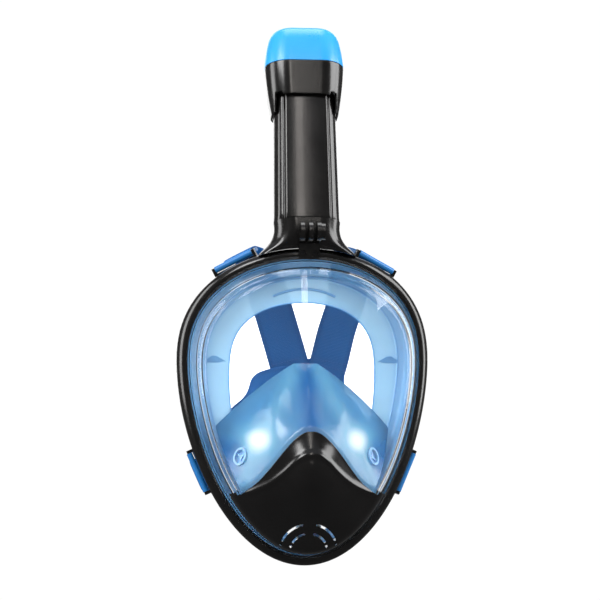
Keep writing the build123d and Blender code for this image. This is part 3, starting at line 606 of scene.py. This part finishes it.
def on_flange(x, z, lift):
    """Point just in front of the flange at x and z."""
    t = math.atan2(x / RIM_HALF_WIDTH, (z - WIDEST_Z) / (RIM_TOP if z > WIDEST_Z else RIM_BOTTOM))
    fold, edge = flange_ring(0.0, 0.0, np.array([t]))[0], flange_ring(1.0, 0.0, np.array([t]))[0]
    run = edge[[0, 2]] - fold[[0, 2]]
    share = float(np.clip(np.dot((x, z) - fold[[0, 2]], run) / np.dot(run, run), 0, 1))
    return np.array((x, fold[1] + (edge[1] - fold[1]) * share - lift, z))


def make_ribs():
    """Stiffening ribs of the skirt: a T at the forehead and a wedge on each side."""
    parts = []
    parts.append(tube_along([on_flange(x, 91.0 - 0.010 * x * x, 2.4) for x in np.linspace(-24, 24, 25)],
                            1.0, squash=0.9))
    parts.append(tube_along([on_flange(0.0, z, 2.3) for z in np.linspace(91.5, 102.0, 8)], 0.9))
    parts.append(tube_along([on_flange(x, 102.2 - 0.004 * x * x, 3.0) for x in np.linspace(-26, 26, 25)],
                            1.5, squash=1.2))
    for side in (-1, 1):
        shape = [(side * 75.5, 33.0), (side * 75.5, 35.2), (side * 70.0, 38.6), (side * 66.5, 38.2),
                 (side * 59.5, 34.2), (side * 59.5, 33.0)]
        base = [on_flange(x, z, 1.6) for x, z in shape]
        points = np.array(base + [p - (0, 2.2 if 0 < k < 5 else 1.2, 0) for k, p in enumerate(base)])
        count = len(base)
        faces = [(k, (k + 1) % count, (k + 1) % count + count, k + count) for k in range(count)]
        parts.append((points, faces + [tuple(range(count)), tuple(range(count, 2 * count))]))
    ribs = add_mesh("skirt_ribs", *joined(parts), SKIRT, "mask", sharp=50)
    set_tint(ribs, [0.62] * len(ribs.data.vertices))


# ---------------------------------------------------------------- nose and mouth pocket

POCKET_WALL = 1.7
POCKET_TUCK = 0.1        # share of its depth that goes on under the chin cover


def pocket_surface(i, j, depth):
    """Front (depth 0) or back of the pocket's wall: i runs across it, j from the nose to the lens,
    and past 1 down the lens."""
    a = np.abs(i)
    x0 = np.sign(i) * (8.0 * smooth(a / 0.13) + 66.0 * np.maximum(a - 0.1, 0.0) / 0.9)
    fall = np.maximum(np.abs(x0) - 9.0, 0.0)
    rear = stack(x0, -16.0 + 0.0057 * x0 * x0, 34.0 - 0.62 * fall - 0.0042 * fall * fall)
    x1 = 64.0 * i
    z1 = cover_line(x1) + 3.0 - 60.0 * np.maximum(j - 1, 0.0)
    front = stack(x1, lens_y(x1, z1) + LENS_THICKNESS + 0.6, z1)
    reach = np.minimum(j, 1.0)
    point = rear + (front - rear) * reach[..., None]
    swell = np.sin(math.pi * reach)
    cheek = 9.0 * swell * smooth((a - 0.12) / 0.3) * (1 - smooth((a - 0.6) / 0.4))
    ridge = 5.0 * swell * np.exp(-((i / 0.1) ** 2))
    rise = cheek + ridge - depth
    point[..., 1] -= 0.6 * rise
    point[..., 2] += 0.8 * rise
    return point


def pocket_tint_and_highlight(away, z):
    """Depth of blue, deep on the nose and low at the sides, with a painted highlight: pale down each
    cheek's slope and near white on the ball of the cheek."""
    nose = np.exp(-((away / 8.0) ** 2))
    # painted highlight: near white on the ball of each cheek
    cheek_highlight = np.exp(-(((away - 38) / 11) ** 2) - ((z + 22) / 9) ** 2)
    # painted highlight: a paler band down each cheek's slope
    slope = np.exp(-(((away - 24 + 0.5 * z) / 7) ** 2))
    side = smooth((away - 44) / 10) * smooth((-18 - z) / 14)
    return 0.58 + 0.42 * nose - 1.35 * cheek_highlight - 0.35 * slope + 0.35 * side


def make_pocket():
    i, j = np.meshgrid(np.linspace(-1, 1, 121), np.linspace(0, 1 + POCKET_TUCK, 54))
    front = pocket_surface(i, j, np.zeros(i.shape))
    back = pocket_surface(i, j, np.full(i.shape, POCKET_WALL))
    grid = np.concatenate((front, back[::-1]))
    pocket = net("nose_cup", grid, POCKET, wrap_columns=False, caps=("first_column", "last_column"),
                 sharp=50)
    x, z = inset(RING, 21.6)
    walls = np.array([stack(x, -200.0, z), stack(x, 200.0, z)])
    carve(pocket, net("inside", walls, None, wrap_rows=False, caps=("first_row", "last_row")), "INTERSECT")
    hole_i, hole_j, near = 0.74, 0.68, 0.05
    for side in (-1, 1):
        here = pocket_surface(np.array([hole_i * side]), np.array([hole_j]), np.array([0.9]))[0]
        across = np.diff(pocket_surface(np.array([hole_i - near, hole_i + near]) * side,
                                        np.array([hole_j] * 2), np.zeros(2)), axis=0)[0] * side
        along = np.diff(pocket_surface(np.array([hole_i] * 2) * side,
                                       np.array([hole_j - near, hole_j + near]), np.zeros(2)), axis=0)[0]
        x_dir = across / np.linalg.norm(across)
        normal = np.cross(x_dir, along)
        normal /= np.linalg.norm(normal)
        hole = prism(disc(INHALE_HOLE, 48), here, x_dir, np.cross(normal, x_dir), 6, 6)
        carve(pocket, add_mesh("valve_hole", *hole, None))
    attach(pocket, "mask")
    co = np.array([v.co for v in pocket.data.vertices]) / MM
    # the tint attribute holds the pocket's depth of blue and its painted cheek highlight
    set_tint(pocket, pocket_tint_and_highlight(np.abs(co[:, 0]), co[:, 2]))
    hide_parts("nose_pocket")


# ---------------------------------------------------------------- chin cover

def cover_lift(x, z, inner):
    """Height of the cover over the lens: a muzzle, a crease and a band that falls to its upper edge."""
    muzzle = 6.0 * np.exp(-((x / 20.0) ** 2) - ((z - MUZZLE_Z) / 24.0) ** 2)
    if inner:
        return 0.35 + 0.8 * muzzle
    below = np.maximum(cover_line(x) - z, 0.0)
    band = 1.0 + 14.8 * (1 - smooth((np.abs(x) - 16) / 36))
    fade = smooth((62 - np.abs(x)) / 20)
    fall = 0.9 * (1 - smooth(below / band)) * fade
    crest = 1.1 * np.exp(-(((below - band) / 2.6) ** 2)) * fade
    return 2.45 + muzzle - fall + crest


def make_cover():
    """Shell from the lens's side wall round the chin up to the shaped upper edge, with its slots cut."""
    across = np.linspace(-0.985, 0.985, 181)
    t = math.pi - np.sign(across) * np.abs(across) ** 0.92 * COVER_TURN
    top_x = COVER_HALF_WIDTH * np.sign(across) * np.abs(across) ** 1.15
    top_z = cover_line(top_x) - 3.0 * smooth((np.abs(top_x) - 44) / 13)
    ends_x, ends_z = inset(t, FACE_INSET)
    rows = [rim_ring(u, w, t) for u, w in ((11.5, -14.0), (12.7, -17.4), (14.6, -19.9))]

    def surface(share, inner):
        x, z = ends_x + (top_x - ends_x) * share, ends_z + (top_z - ends_z) * share
        return stack(x, lens_y(x, z) - cover_lift(x, z, inner), z)

    shares = np.concatenate((np.linspace(0, 0.72, 26), np.linspace(0.74, 1.0, 26)))
    outer = rows + [surface(s, False) for s in shares]
    inner = [rim_ring(13.2, -13.4, t), rim_ring(14.15, -16.3, t)] + [surface(s, True) for s in shares]
    cuts = [0.25, 2.0, 2.0, 1.6] + [0.0] * (len(shares) - 2) + [0.5]
    rows = outer + inner[::-1]
    cuts += [0.35] + [0.0] * (len(inner) - 2) + [0.3]
    cover = net("chin_shell", rounded(rows, cuts, closed=True), COVER_BLACK, wrap_columns=False,
                caps=("first_column", "last_column"), sharp=50)
    cuts = []
    for radius, start, end in ((OUTER_SLOTS, 24.0, 75.0), (INNER_SLOTS, 32.0, 74.0)):
        for low, high in ((start, end), (180 - end, 180 - start)):
            turn = np.radians(np.linspace(low, high, 22))
            flat = arc(radius + SLOT_HALF_WIDTH, turn) + end_cap(radius, turn[-1], 1)
            flat += arc(radius - SLOT_HALF_WIDTH, turn[::-1]) + end_cap(radius, turn[0], -1)
            cuts.append(flat)
    for radius, angle in ((OUTER_SLOTS, 14.0), (INNER_SLOTS, 16.0)):
        for turn in (math.radians(angle), math.radians(180.0 - angle)):
            cuts.append(disc(VENT_RADIUS, 20, (radius * math.cos(turn), radius * math.sin(turn))))
    bars = [prism(flat, (0, -70, SLOT_Z), (1, 0, 0), (0, 0, 1), 40, 40) for flat in cuts]
    carve(cover, add_mesh("slots", *joined(bars), None))
    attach(cover, "mask")
    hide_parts("chin_cover")


def end_cap(radius, angle, way):
    """Round end of a slot, from its outer edge to its inner one (way 1) or back (way -1)."""
    half_turn = np.linspace(0, math.pi, 8)[1:-1] + (0 if way > 0 else math.pi)
    return arc(SLOT_HALF_WIDTH, angle + half_turn, (radius * math.cos(angle), radius * math.sin(angle)))


# ---------------------------------------------------------------- snorkel

def air_way(centre, width, depth, corner, low, high):
    """Points and faces of the hollow of one air way, between two places along the snorkel."""
    shape = oval(width, depth, corner, 6, 2)
    rows = [tube_point(shape[:, 0] + centre, shape[:, 1], along) for along in (low, high)]
    count = len(shape)
    faces = net_faces(2, count, False, True) + [tuple(range(count)), tuple(range(count, 2 * count))]
    return np.array(rows), faces


def make_tube():
    quarter = ((0.0, 17.85), (6.0, 17.75), (12.0, 17.4), (16.9, 16.75), (18.1, 13.4), (19.3, 13.3),
               (22.2, 11.4), (24.5, 7.2), (25.5, 2.4))
    cuts_quarter = (3.0, 3.0, 3.0, 0.9, 0.5, 0.6, 1.6, 2.6, 2.4)
    front_right = [(x, -y) for x, y in quarter]
    back_right = [(x, y) for x, y in quarter[:0:-1]] + [(0.0, 17.85)]
    half = front_right + back_right
    cuts = list(cuts_quarter) + list(cuts_quarter[:0:-1]) + [3.0]
    section = half + [(-x, y) for x, y in half[-2:0:-1]]
    cuts = cuts + cuts[-2:0:-1]
    levels = np.concatenate(([0.15, 0.55], np.linspace(1.2, TUBE_LENGTH, 30)))
    scale = 1 - (1 - TUBE_TAPER) * levels / TUBE_LENGTH
    pull = np.interp(levels, (0.15, 0.55, 1.2), (0.5, 0.12, 0.0))
    rows = [tube_point((x - math.copysign(min(abs(x), 1), x) * pull) * scale,
                       (y - math.copysign(1, y) * pull) * (0.5 + 0.5 * scale), levels) for x, y in section]
    tube = net("tube_body", rounded(rows, cuts, closed=True, steps=3), BLACK, wrap_columns=False,
               caps=("first_column", "last_column"), sharp=35)
    channels = [air_way(0, 20.8, 30.0, 4.0, 3.0, 110.0)]
    channels += [air_way(side * 17.0, 9.0, 19.6, 4.2, 3.0, 110.0) for side in (-1, 1)]
    carve(tube, add_mesh("channels", *joined(channels), None))
    plug_levels = (-12.4, -11.8, -5.7, -5.4, -3.0, -2.7, 0.3)
    pulls = (0.6, 0.0, 0.0, 0.9, 0.9, 0.0, 0.0)
    shape = [oval(44.4 - 2 * p, 29.0 - 2 * p, 12.7 - p, 12, 4) for p in pulls]
    rows = [tube_point(s[:, 0], s[:, 1], a) for s, a in zip(shape, plug_levels)]
    plug = net("tube_plug", rows, BLACK, wrap_rows=False, caps=("first_row", "last_row"), sharp=35)
    ways = [air_way(0, 20.2, 22.0, 4.0, -20.0, -1.0)]
    ways += [air_way(side * 16.1, 6.8, 18.0, 3.2, -20.0, -1.0) for side in (-1, 1)]
    carve(plug, add_mesh("ways", *joined(ways), None))
    for piece in (tube, plug):
        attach(piece, "snorkel")
    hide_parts("snorkel_tube")


HEAD_LEVELS = (HEAD_START, 96.0, 108.0, HEAD_SPLIT)
HEAD_WIDTHS = (52.4, 55.0, 59.2, 62.0)
HEAD_DEPTHS = (39.0, 41.5, 45.0, 47.5)


def head_section(along, shrink=0.0):
    """Outline of the head at one level; the widths follow a curve through the CAD's."""
    width = np.polyval(np.polyfit(HEAD_LEVELS, HEAD_WIDTHS, 2), along) - 2 * shrink
    depth = np.polyval(np.polyfit(HEAD_LEVELS, HEAD_DEPTHS, 2), along) - 2 * shrink
    return oval(width, depth, 0.40 * (depth + 2 * shrink) - shrink, 30, 26)


def make_head():
    """Housing whose lower edge drops at the sides and steps up over the air slots."""
    base = head_section(96.0)
    q = np.abs(base[:, 0]) + np.where(np.abs(base[:, 1]) < 13, 10.0, 0.0)
    lower = np.interp(q, (0, 14.0, 18.0, 18.5, 23.4, 23.9, 24.8, 26.5, 40),
                      (99.4, 99.4, 99.0, 101.6, 101.6, 97.0, 92.0, 87.2, HEAD_START))
    levels = np.linspace(0, 1, 15)

    def wall(shrink):
        rows = []
        for s in levels:
            along = lower + (HEAD_SPLIT - lower) * s
            table = np.array([head_section(a, shrink) for a in np.linspace(86, 127, 42)])
            pick = (along - 86) / (127 - 86) * 41
            low = np.clip(np.floor(pick).astype(int), 0, 40)
            part = (pick - low)[:, None]
            column = np.arange(len(base))
            xy = table[low, column] * (1 - part) + table[low + 1, column] * part
            rows.append(tube_point(xy[:, 0], xy[:, 1], along))
        return rows

    outer, inner = wall(0.0), wall(HEAD_WALL)
    rows = outer + inner[::-1]
    cuts = [0.45] + [0.0] * (len(levels) - 2) + [0.35, 0.3] + [0.0] * (len(levels) - 2) + [0.4]
    head = net("head_shell", rounded(rows, cuts, closed=True), BLACK, "snorkel", sharp=45)
    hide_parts("head_housing")


def make_cap():
    table = np.array(((HEAD_SPLIT + 0.3, 62.0, 47.5), (131.0, 61.3, 47.1), (137.0, 60.0, 46.0),
                      (142.0, 58.4, 44.7), (146.5, 56.6, 43.2), (150.5, 54.0, 40.8), (153.4, 50.8, 38.0),
                      (155.4, 47.0, 34.4), (156.7, 42.4, 30.0), (157.3, 36.0, 24.0), (157.5, 22.0, 12.0)))

    def rows(shrink, drop):
        made = []
        for along, width, depth in table:
            corner = min(0.40 * depth, depth / 2 - 0.2) - shrink
            shape = oval(width - 2 * shrink, depth - 2 * shrink, max(corner, 0.5), 20, 10)
            made.append(tube_point(shape[:, 0], shape[:, 1], along - drop * (along > 127)))
        return made

    outer, inner = rows(0.0, 0.0), rows(HEAD_WALL, 1.2)
    grid = rounded(inner[::-1] + outer, [0.0] * 10 + [0.3, 0.35] + [2.0] * 9 + [0.0], closed=False)
    cap = net("cap_shell", grid, BLUE, "snorkel", wrap_rows=False, caps=("first_row", "last_row"), sharp=45)
    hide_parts("head_cap")


# ---------------------------------------------------------------- straps

def buckle_plane(level, side):
    """Origin and three directions of a buckle: along its pin, rearwards and outwards."""
    t, barrel = (0.578, 2.5) if level == "upper" else (2.21, 2.2)
    here, ahead = [np.array([float(v) for v in inset(np.float64(a), 0.0)]) for a in (t, t + 0.01)]
    point, after = [np.array((p[0], float(front_y(p[0], p[1])) + 15.0, p[1])) for p in (here, ahead)]
    along = (after - point) / np.linalg.norm(after - point)
    flat = np.array((ahead[0] - here[0], 0.0, ahead[1] - here[1]))
    flat /= np.linalg.norm(flat)
    outward = np.array((-flat[2], 0.0, flat[0]))
    point = point + outward * (barrel + 0.4)
    if side < 0:
        point[0], outward[0] = -point[0], -outward[0]
        along = along * (1, -1, -1)
    along = along - outward * np.dot(along, outward)
    along /= np.linalg.norm(along)
    return point, along, np.cross(outward, along), outward


def curve_through(points, count):
    """Smooth line through the points, by their rough distances apart."""
    points = np.array(points)
    padded = np.vstack((2 * points[0] - points[1], points, 2 * points[-1] - points[-2]))
    knots = np.concatenate(([0], np.cumsum(np.linalg.norm(np.diff(padded, axis=0), axis=1) ** 0.5)))
    made = []
    for value in np.linspace(knots[1], knots[-2], count):
        k = int(np.clip(np.searchsorted(knots, value) - 1, 1, len(points) - 1))
        p, t = padded[k - 1:k + 3], knots[k - 1:k + 3]
        a = [p[m] * (t[m + 1] - value) / (t[m + 1] - t[m]) + p[m + 1] * (value - t[m]) / (t[m + 1] - t[m])
             for m in range(3)]
        b = [a[m] * (t[m + 2] - value) / (t[m + 2] - t[m]) + a[m + 1] * (value - t[m]) / (t[m + 2] - t[m])
             for m in range(2)]
        made.append(b[0] * (t[2] - value) / (t[2] - t[1]) + b[1] * (value - t[1]) / (t[2] - t[1]))
    return np.array(made)


BAND_POINTS = {
    "upper_left": ((-30, 70, 108), (-20, 92, 84), (-9, 108.5, 53), (-1, 116.4, 28), (3, 118.9, 14)),
    "upper_right": ((44, 70, 108), (45, 92, 84), (38, 108.5, 53), (33, 116.4, 28), (29, 118.9, 14)),
    "lower_left": ((-60, 72, -44), (-40, 91, -17), (-26, 106, 3), (0, 113.8, 9), (8, 117.0, 8)),
    "lower_right": ((70, 72, -52), (62, 92, -40), (50, 105.5, -22), (31, 112.6, -5), (22, 117.0, 1)),
}
FOLD = ((43.5, -1.15), (36.0, -2.1), (28.0, -2.15), (21.4, -2.15), (20.3, -1.9), (19.35, -1.0), (19.1, 0.0),
        (19.35, 1.0), (20.3, 1.9), (21.4, 2.15), (28.0, 2.15), (36.0, 1.9), (42.0, 0.95))
FIRST_HALF_WIDTH, HALF_WIDTH_GAIN = 12.4, 4.0
BAND_HALF_THICKNESS = 0.78
BAND_TURN_START = 0.22      # share of its length at which a band starts to leave its buckle's direction
STITCHES = []


def band_path(name, local):
    """Centre line of a band: round the buckle's bar, back along itself, then by its route to the patch.
    A call of local places a point behind and above the buckle's pin."""
    fold = [local(y, z) for y, z in FOLD]
    route = [local(52.0, -1.2)]
    route += [np.array(point, float) for point in BAND_POINTS[name]]
    path = np.concatenate((curve_through(fold, 60)[:-1],
                           curve_through([fold[-2], fold[-1]] + route, 110)[22:]))
    steps = np.linalg.norm(np.diff(path, axis=0), axis=1)
    path = path[np.concatenate(([True], steps > 0.25))]
    return path, np.concatenate(([0], np.cumsum(np.linalg.norm(np.diff(path, axis=0), axis=1))))


def band_directions(path, share, along, level, side):
    """Directions across a band and out of its face, from along the pin to flat on the patch."""
    last = np.array((1.0, 0.0, 0.2 * side)) if level == "upper" else np.array((-0.45 * side, 0, 1.0)) * -side
    if np.dot(along, last) < 0:
        last = -last
    turn = smooth(share)[:, None]
    across = along * (1 - turn) + last / np.linalg.norm(last) * turn
    ahead = np.gradient(path, axis=0)
    ahead /= np.linalg.norm(ahead, axis=1, keepdims=True)
    across -= ahead * np.sum(ahead * across, axis=1, keepdims=True)
    across /= np.linalg.norm(across, axis=1, keepdims=True)
    return across, np.cross(ahead, across)


def make_band(level, side):
    name = level + ("_left" if side < 0 else "_right")
    origin, along, rear, out = buckle_plane(level, side)

    def local(y, z):
        return origin + rear * y + out * z

    path, length = band_path(name, local)
    start = length[-1] * BAND_TURN_START
    share = np.clip((length - start) / (length[-1] - start), 0, 1)
    across, normal = band_directions(path, share, along, level, side)
    half = FIRST_HALF_WIDTH + HALF_WIDTH_GAIN * smooth(share * 2.4)
    angle = np.linspace(0, 2 * math.pi, 28, endpoint=False)
    flat = np.sign(np.cos(angle)) * np.abs(np.cos(angle)) ** 0.45
    thick = np.sign(np.sin(angle)) * np.abs(np.sin(angle)) ** 0.6 * BAND_HALF_THICKNESS
    grid = (path[:, None] + across[:, None] * (flat[None, :, None] * half[:, None, None])
            + normal[:, None] * thick[None, :, None])
    uvs = [(float(u), float(f * h)) for u, h in zip(length, half) for f in flat]
    band = net(f"band_{name}", grid, FABRIC, wrap_rows=False, caps=("first_row", "last_row"),
               sharp=50, uvs=uvs)
    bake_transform(band)
    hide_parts(level + "_strap_" + ("left" if side < 0 else "right"), "strap_tail_" + name)
    for seam in (0.90, 0.93):
        STITCHES.append((path, across, normal, half, int(len(path) * seam)))


def stitch_row(points, normals, ways, pitch=2.4, size=(0.95, 0.28)):
    """Small thread loops along a line of points."""
    gaps = np.concatenate(([0], np.cumsum(np.linalg.norm(np.diff(points, axis=0), axis=1))))
    parts = []
    ring = np.linspace(0, 2 * math.pi, 8, endpoint=False)
    for at in np.arange(pitch / 2, gaps[-1], pitch):
        point = np.array([np.interp(at, gaps, points[:, k]) for k in range(3)])
        way = np.array([np.interp(at, gaps, ways[:, k]) for k in range(3)])
        up = np.array([np.interp(at, gaps, normals[:, k]) for k in range(3)])
        side = np.cross(way, up)
        rows = []
        for s in np.linspace(-1, 1, 6):
            radius = size[1] * math.sqrt(max(1 - s**4, 0.02))
            rows.append(point + way * size[0] * s + up * (0.12 * (1 - s * s))
                        + radius * (np.cos(ring)[:, None] * side + np.sin(ring)[:, None] * up))
        grid = np.array(rows)
        faces = net_faces(6, 8, False, True) + [tuple(range(8)), tuple(range(40, 48))]
        parts.append((grid, faces))
    return parts


def make_patch_pad():
    """Soft pad behind the bands, with a raised border; gives the thread loops of its seam."""

    def ring(width, height, corner, y):
        shape = oval(width, height, corner, 20, 10)
        return stack(shape[:, 0] + PATCH_X, PATCH_Y + y, shape[:, 1] + PATCH_Z)

    profile = ((0.0, PATCH_BACK), (0.0, -0.9), (2.2, -1.9), (6.0, -1.35), (8.0, -1.7), (14.0, -1.95))
    front = [ring(62 - 2 * d, 58 - 2 * d, max(14 - d, 3), y) for d, y in profile] + [ring(20, 16, 3, -2.0)]
    back = [ring(*size, PATCH_BACK) for size in ((20, 16, 3), (48, 44, 9), (60, 56, 13))]
    cuts = [0, 3, 0.4, 1.2, 1.4, 1.5, 1.5, 1.5, 2, 0]
    grid = rounded(np.array(back + front), cuts, closed=False, steps=3)
    uvs = [(float(p[0]), float((p[2] - PATCH_Z) * 0.4)) for p in grid.reshape(-1, 3)]
    pad = net("patch_pad", grid, FABRIC, "mask", wrap_rows=False, caps=("first_row", "last_row"), uvs=uvs,
              sharp=60)
    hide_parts("strap_patch")
    border = oval(50.5, 46.5, 9.0, 16, 10)
    points = stack(border[:, 0] + PATCH_X, PATCH_Y + PATCH_BACK + 0.05, border[:, 1] + PATCH_Z)
    points = np.vstack((points, points[:1]))
    ways = np.gradient(points, axis=0)
    ways /= np.linalg.norm(ways, axis=1, keepdims=True)
    return stitch_row(points, np.tile((0.0, 1.0, 0.0), (len(points), 1)), ways)


def make_straps():
    for level in ("upper", "lower"):
        for side in (-1, 1):
            make_band(level, side)
    parts = make_patch_pad()
    for path, across, normal, half, k in STITCHES:
        share = np.linspace(-0.86, 0.86, 24)[:, None]
        points = path[k] + across[k] * half[k] * share
        for face in (-1, 1):
            up = normal[k] * face
            parts += stitch_row(points + up * 0.8, np.tile(up, (24, 1)), np.tile(across[k], (24, 1)))
    stitches = add_mesh("stitches", *joined(parts), THREAD, "mask", sharp=None)


# ---------------------------------------------------------------- small parts of the CAD

FINISHES = (
    (BLACK, 0.25, ("camera_mount", "rear_frame", "snorkel_socket")),
    (BLUE, 0.3, ("release_button",)),
    (BUCKLE_BLUE, 0.45, ("buckle_upper_left", "buckle_upper_right", "buckle_lower_left",
                         "buckle_lower_right")),
    (STEEL, 0.1, ("camera_nut", "buckle_pins")),
    (DARK_STEEL, 0.1, ("mount_screws",)),
    (RUBBER, 0.1, ("socket_seal", "tube_gasket", "float_seal")),
    (GREY_PLASTIC, 0.12, ("float_seat", "float_cage", "purge_valve_seat")),
    (CLEAR_RUBBER, 0.12, ("inhale_seat_left", "inhale_seat_right")),
    (FOAM_BLUE, 0.2, ("float",)),
    (CLEAR_RUBBER, 0.1, ("purge_valve_flap", "inhale_flap_left", "inhale_flap_right",
                         "exhale_flap_left", "exhale_flap_right")),
)
BEVELLED = ("camera_mount", "release_button", "buckle_upper_left", "buckle_upper_right",
            "buckle_lower_left", "buckle_lower_right", "float_seat", "float_cage",
            "purge_valve_seat", "inhale_seat_left", "inhale_seat_right")


def finish_nodes():
    for material, edge, names in FINISHES:
        for name in names:
            node = NODES[name]
            node.data.materials.clear()
            node.data.materials.append(material)
            if name in BEVELLED:
                bevel = node.modifiers.new("edges", "BEVEL")
                bevel.width = edge * MM
                bevel.segments = 2
                bevel.limit_method = "ANGLE"
                bevel.angle_limit = math.radians(50)
                bevel.harden_normals = True


# ---------------------------------------------------------------- studio

def make_studio():
    """White bowl that is floor and backdrop at once: bright to the eye, dim in reflections."""
    floor, flat_radius, curve = -0.17, 1.5, 1.1
    profile = [(r, floor) for r in (0.4, 0.9, flat_radius)]
    profile += [(flat_radius + curve * math.sin(a), floor + curve * (1 - math.cos(a)))
                for a in np.linspace(0.1, math.pi / 2, 12)]
    profile += [(flat_radius + curve, 2.2)]
    turn = np.linspace(0, 2 * math.pi, 72, endpoint=False)
    rows = [stack(r * np.cos(turn), r * np.sin(turn), z) for r, z in profile]
    stage = Look("studio_white", (0.92, 0.92, 0.92), 0.9)
    glow = stage.add("ShaderNodeEmission", Color=(1.0, 1.0, 1.0, 1.0))
    path = stage.add("ShaderNodeLightPath")
    seen = stage.maths("MAXIMUM", path.outputs["Is Camera Ray"], path.outputs["Is Transmission Ray"])
    lit = stage.maths("MULTIPLY", path.outputs["Is Diffuse Ray"], 0.62)
    bright = stage.maths("MAXIMUM", stage.maths("MULTIPLY", seen, 1.02), lit)
    strength = stage.maths("MAXIMUM", bright, 0.10)
    stage.tree.links.new(strength, glow.inputs["Strength"])
    stage.tree.links.new(glow.outputs[0], stage.tree.nodes["Material Output"].inputs["Surface"])
    bowl = net("studio_bowl", np.array(rows) / MM, stage.made, wrap_rows=False, caps=("first_row",),
               sharp=None)
    world = bpy.data.worlds.new("studio")
    SCENE.world = world
    world.use_nodes = True
    world.node_tree.nodes["Background"].inputs[0].default_value = (0.9, 0.93, 1.0, 1.0)
    world.node_tree.nodes["Background"].inputs[1].default_value = 0.4


def lamp(name, place, aim, width, height, power, colour=(1.0, 1.0, 1.0)):
    data = bpy.data.lights.new(name, "AREA")
    data.shape = "RECTANGLE"
    data.size, data.size_y = width, height
    data.energy = power
    data.color = colour
    obj = bpy.data.objects.new(name, data)
    obj.location = place
    obj.rotation_mode = "QUATERNION"
    obj.rotation_quaternion = (Vector(aim) - Vector(place)).to_track_quat("-Z", "Y")
    SCENE.collection.objects.link(obj)


def make_lamps():
    centre = (0.0, 0.0, 0.06)
    lamp("key", (-1.2, -1.0, 1.3), centre, 0.9, 0.7, 20)
    lamp("fill", (1.5, -0.55, 0.9), centre, 0.8, 0.8, 14)
    lamp("strip", (0.03, -1.25, 1.0), (0.0, 0.0, 0.2), 0.12, 0.9, 2.2, (1.0, 0.95, 0.9))
    lamp("left_side", (-1.35, 0.1, 0.25), centre, 0.5, 1.2, 10)
    lamp("right_side", (1.35, 0.1, 0.25), centre, 0.5, 1.2, 10)
    lamp("above", (0.0, 0.15, 1.6), centre, 1.0, 1.0, 12)
    lamp("behind", (0.0, 1.5, 0.5), centre, 1.4, 1.4, 12)


def make_camera():
    azimuth, elevation, distance = math.radians(-5.5), math.radians(1.0), 1.4
    back = Vector((math.sin(azimuth) * math.cos(elevation), -math.cos(azimuth) * math.cos(elevation),
                   math.sin(elevation)))
    right = Vector((math.cos(azimuth), math.sin(azimuth), 0.0))
    aim = Vector((0.0, 0.0, 0.0826)) - right * 0.0030
    data = bpy.data.cameras.new("camera")
    data.lens, data.sensor_width = 108.0, 36.0
    data.clip_start, data.clip_end = 0.05, 20.0
    camera = bpy.data.objects.new("camera", data)
    camera.location = aim + back * distance
    camera.rotation_mode = "QUATERNION"
    roll = Quaternion((0.0, 0.0, 1.0), math.radians(0.5))
    camera.rotation_quaternion = (-back).to_track_quat("-Z", "Y") @ roll
    SCENE.collection.objects.link(camera)
    SCENE.camera = camera


make_ring()
make_lens()
make_skirt()
make_ribs()
make_pocket()
make_cover()
make_tube()
make_head()
make_cap()
make_straps()
finish_nodes()
make_studio()
make_lamps()
make_camera()
SCENE.view_settings.view_transform = "Standard"
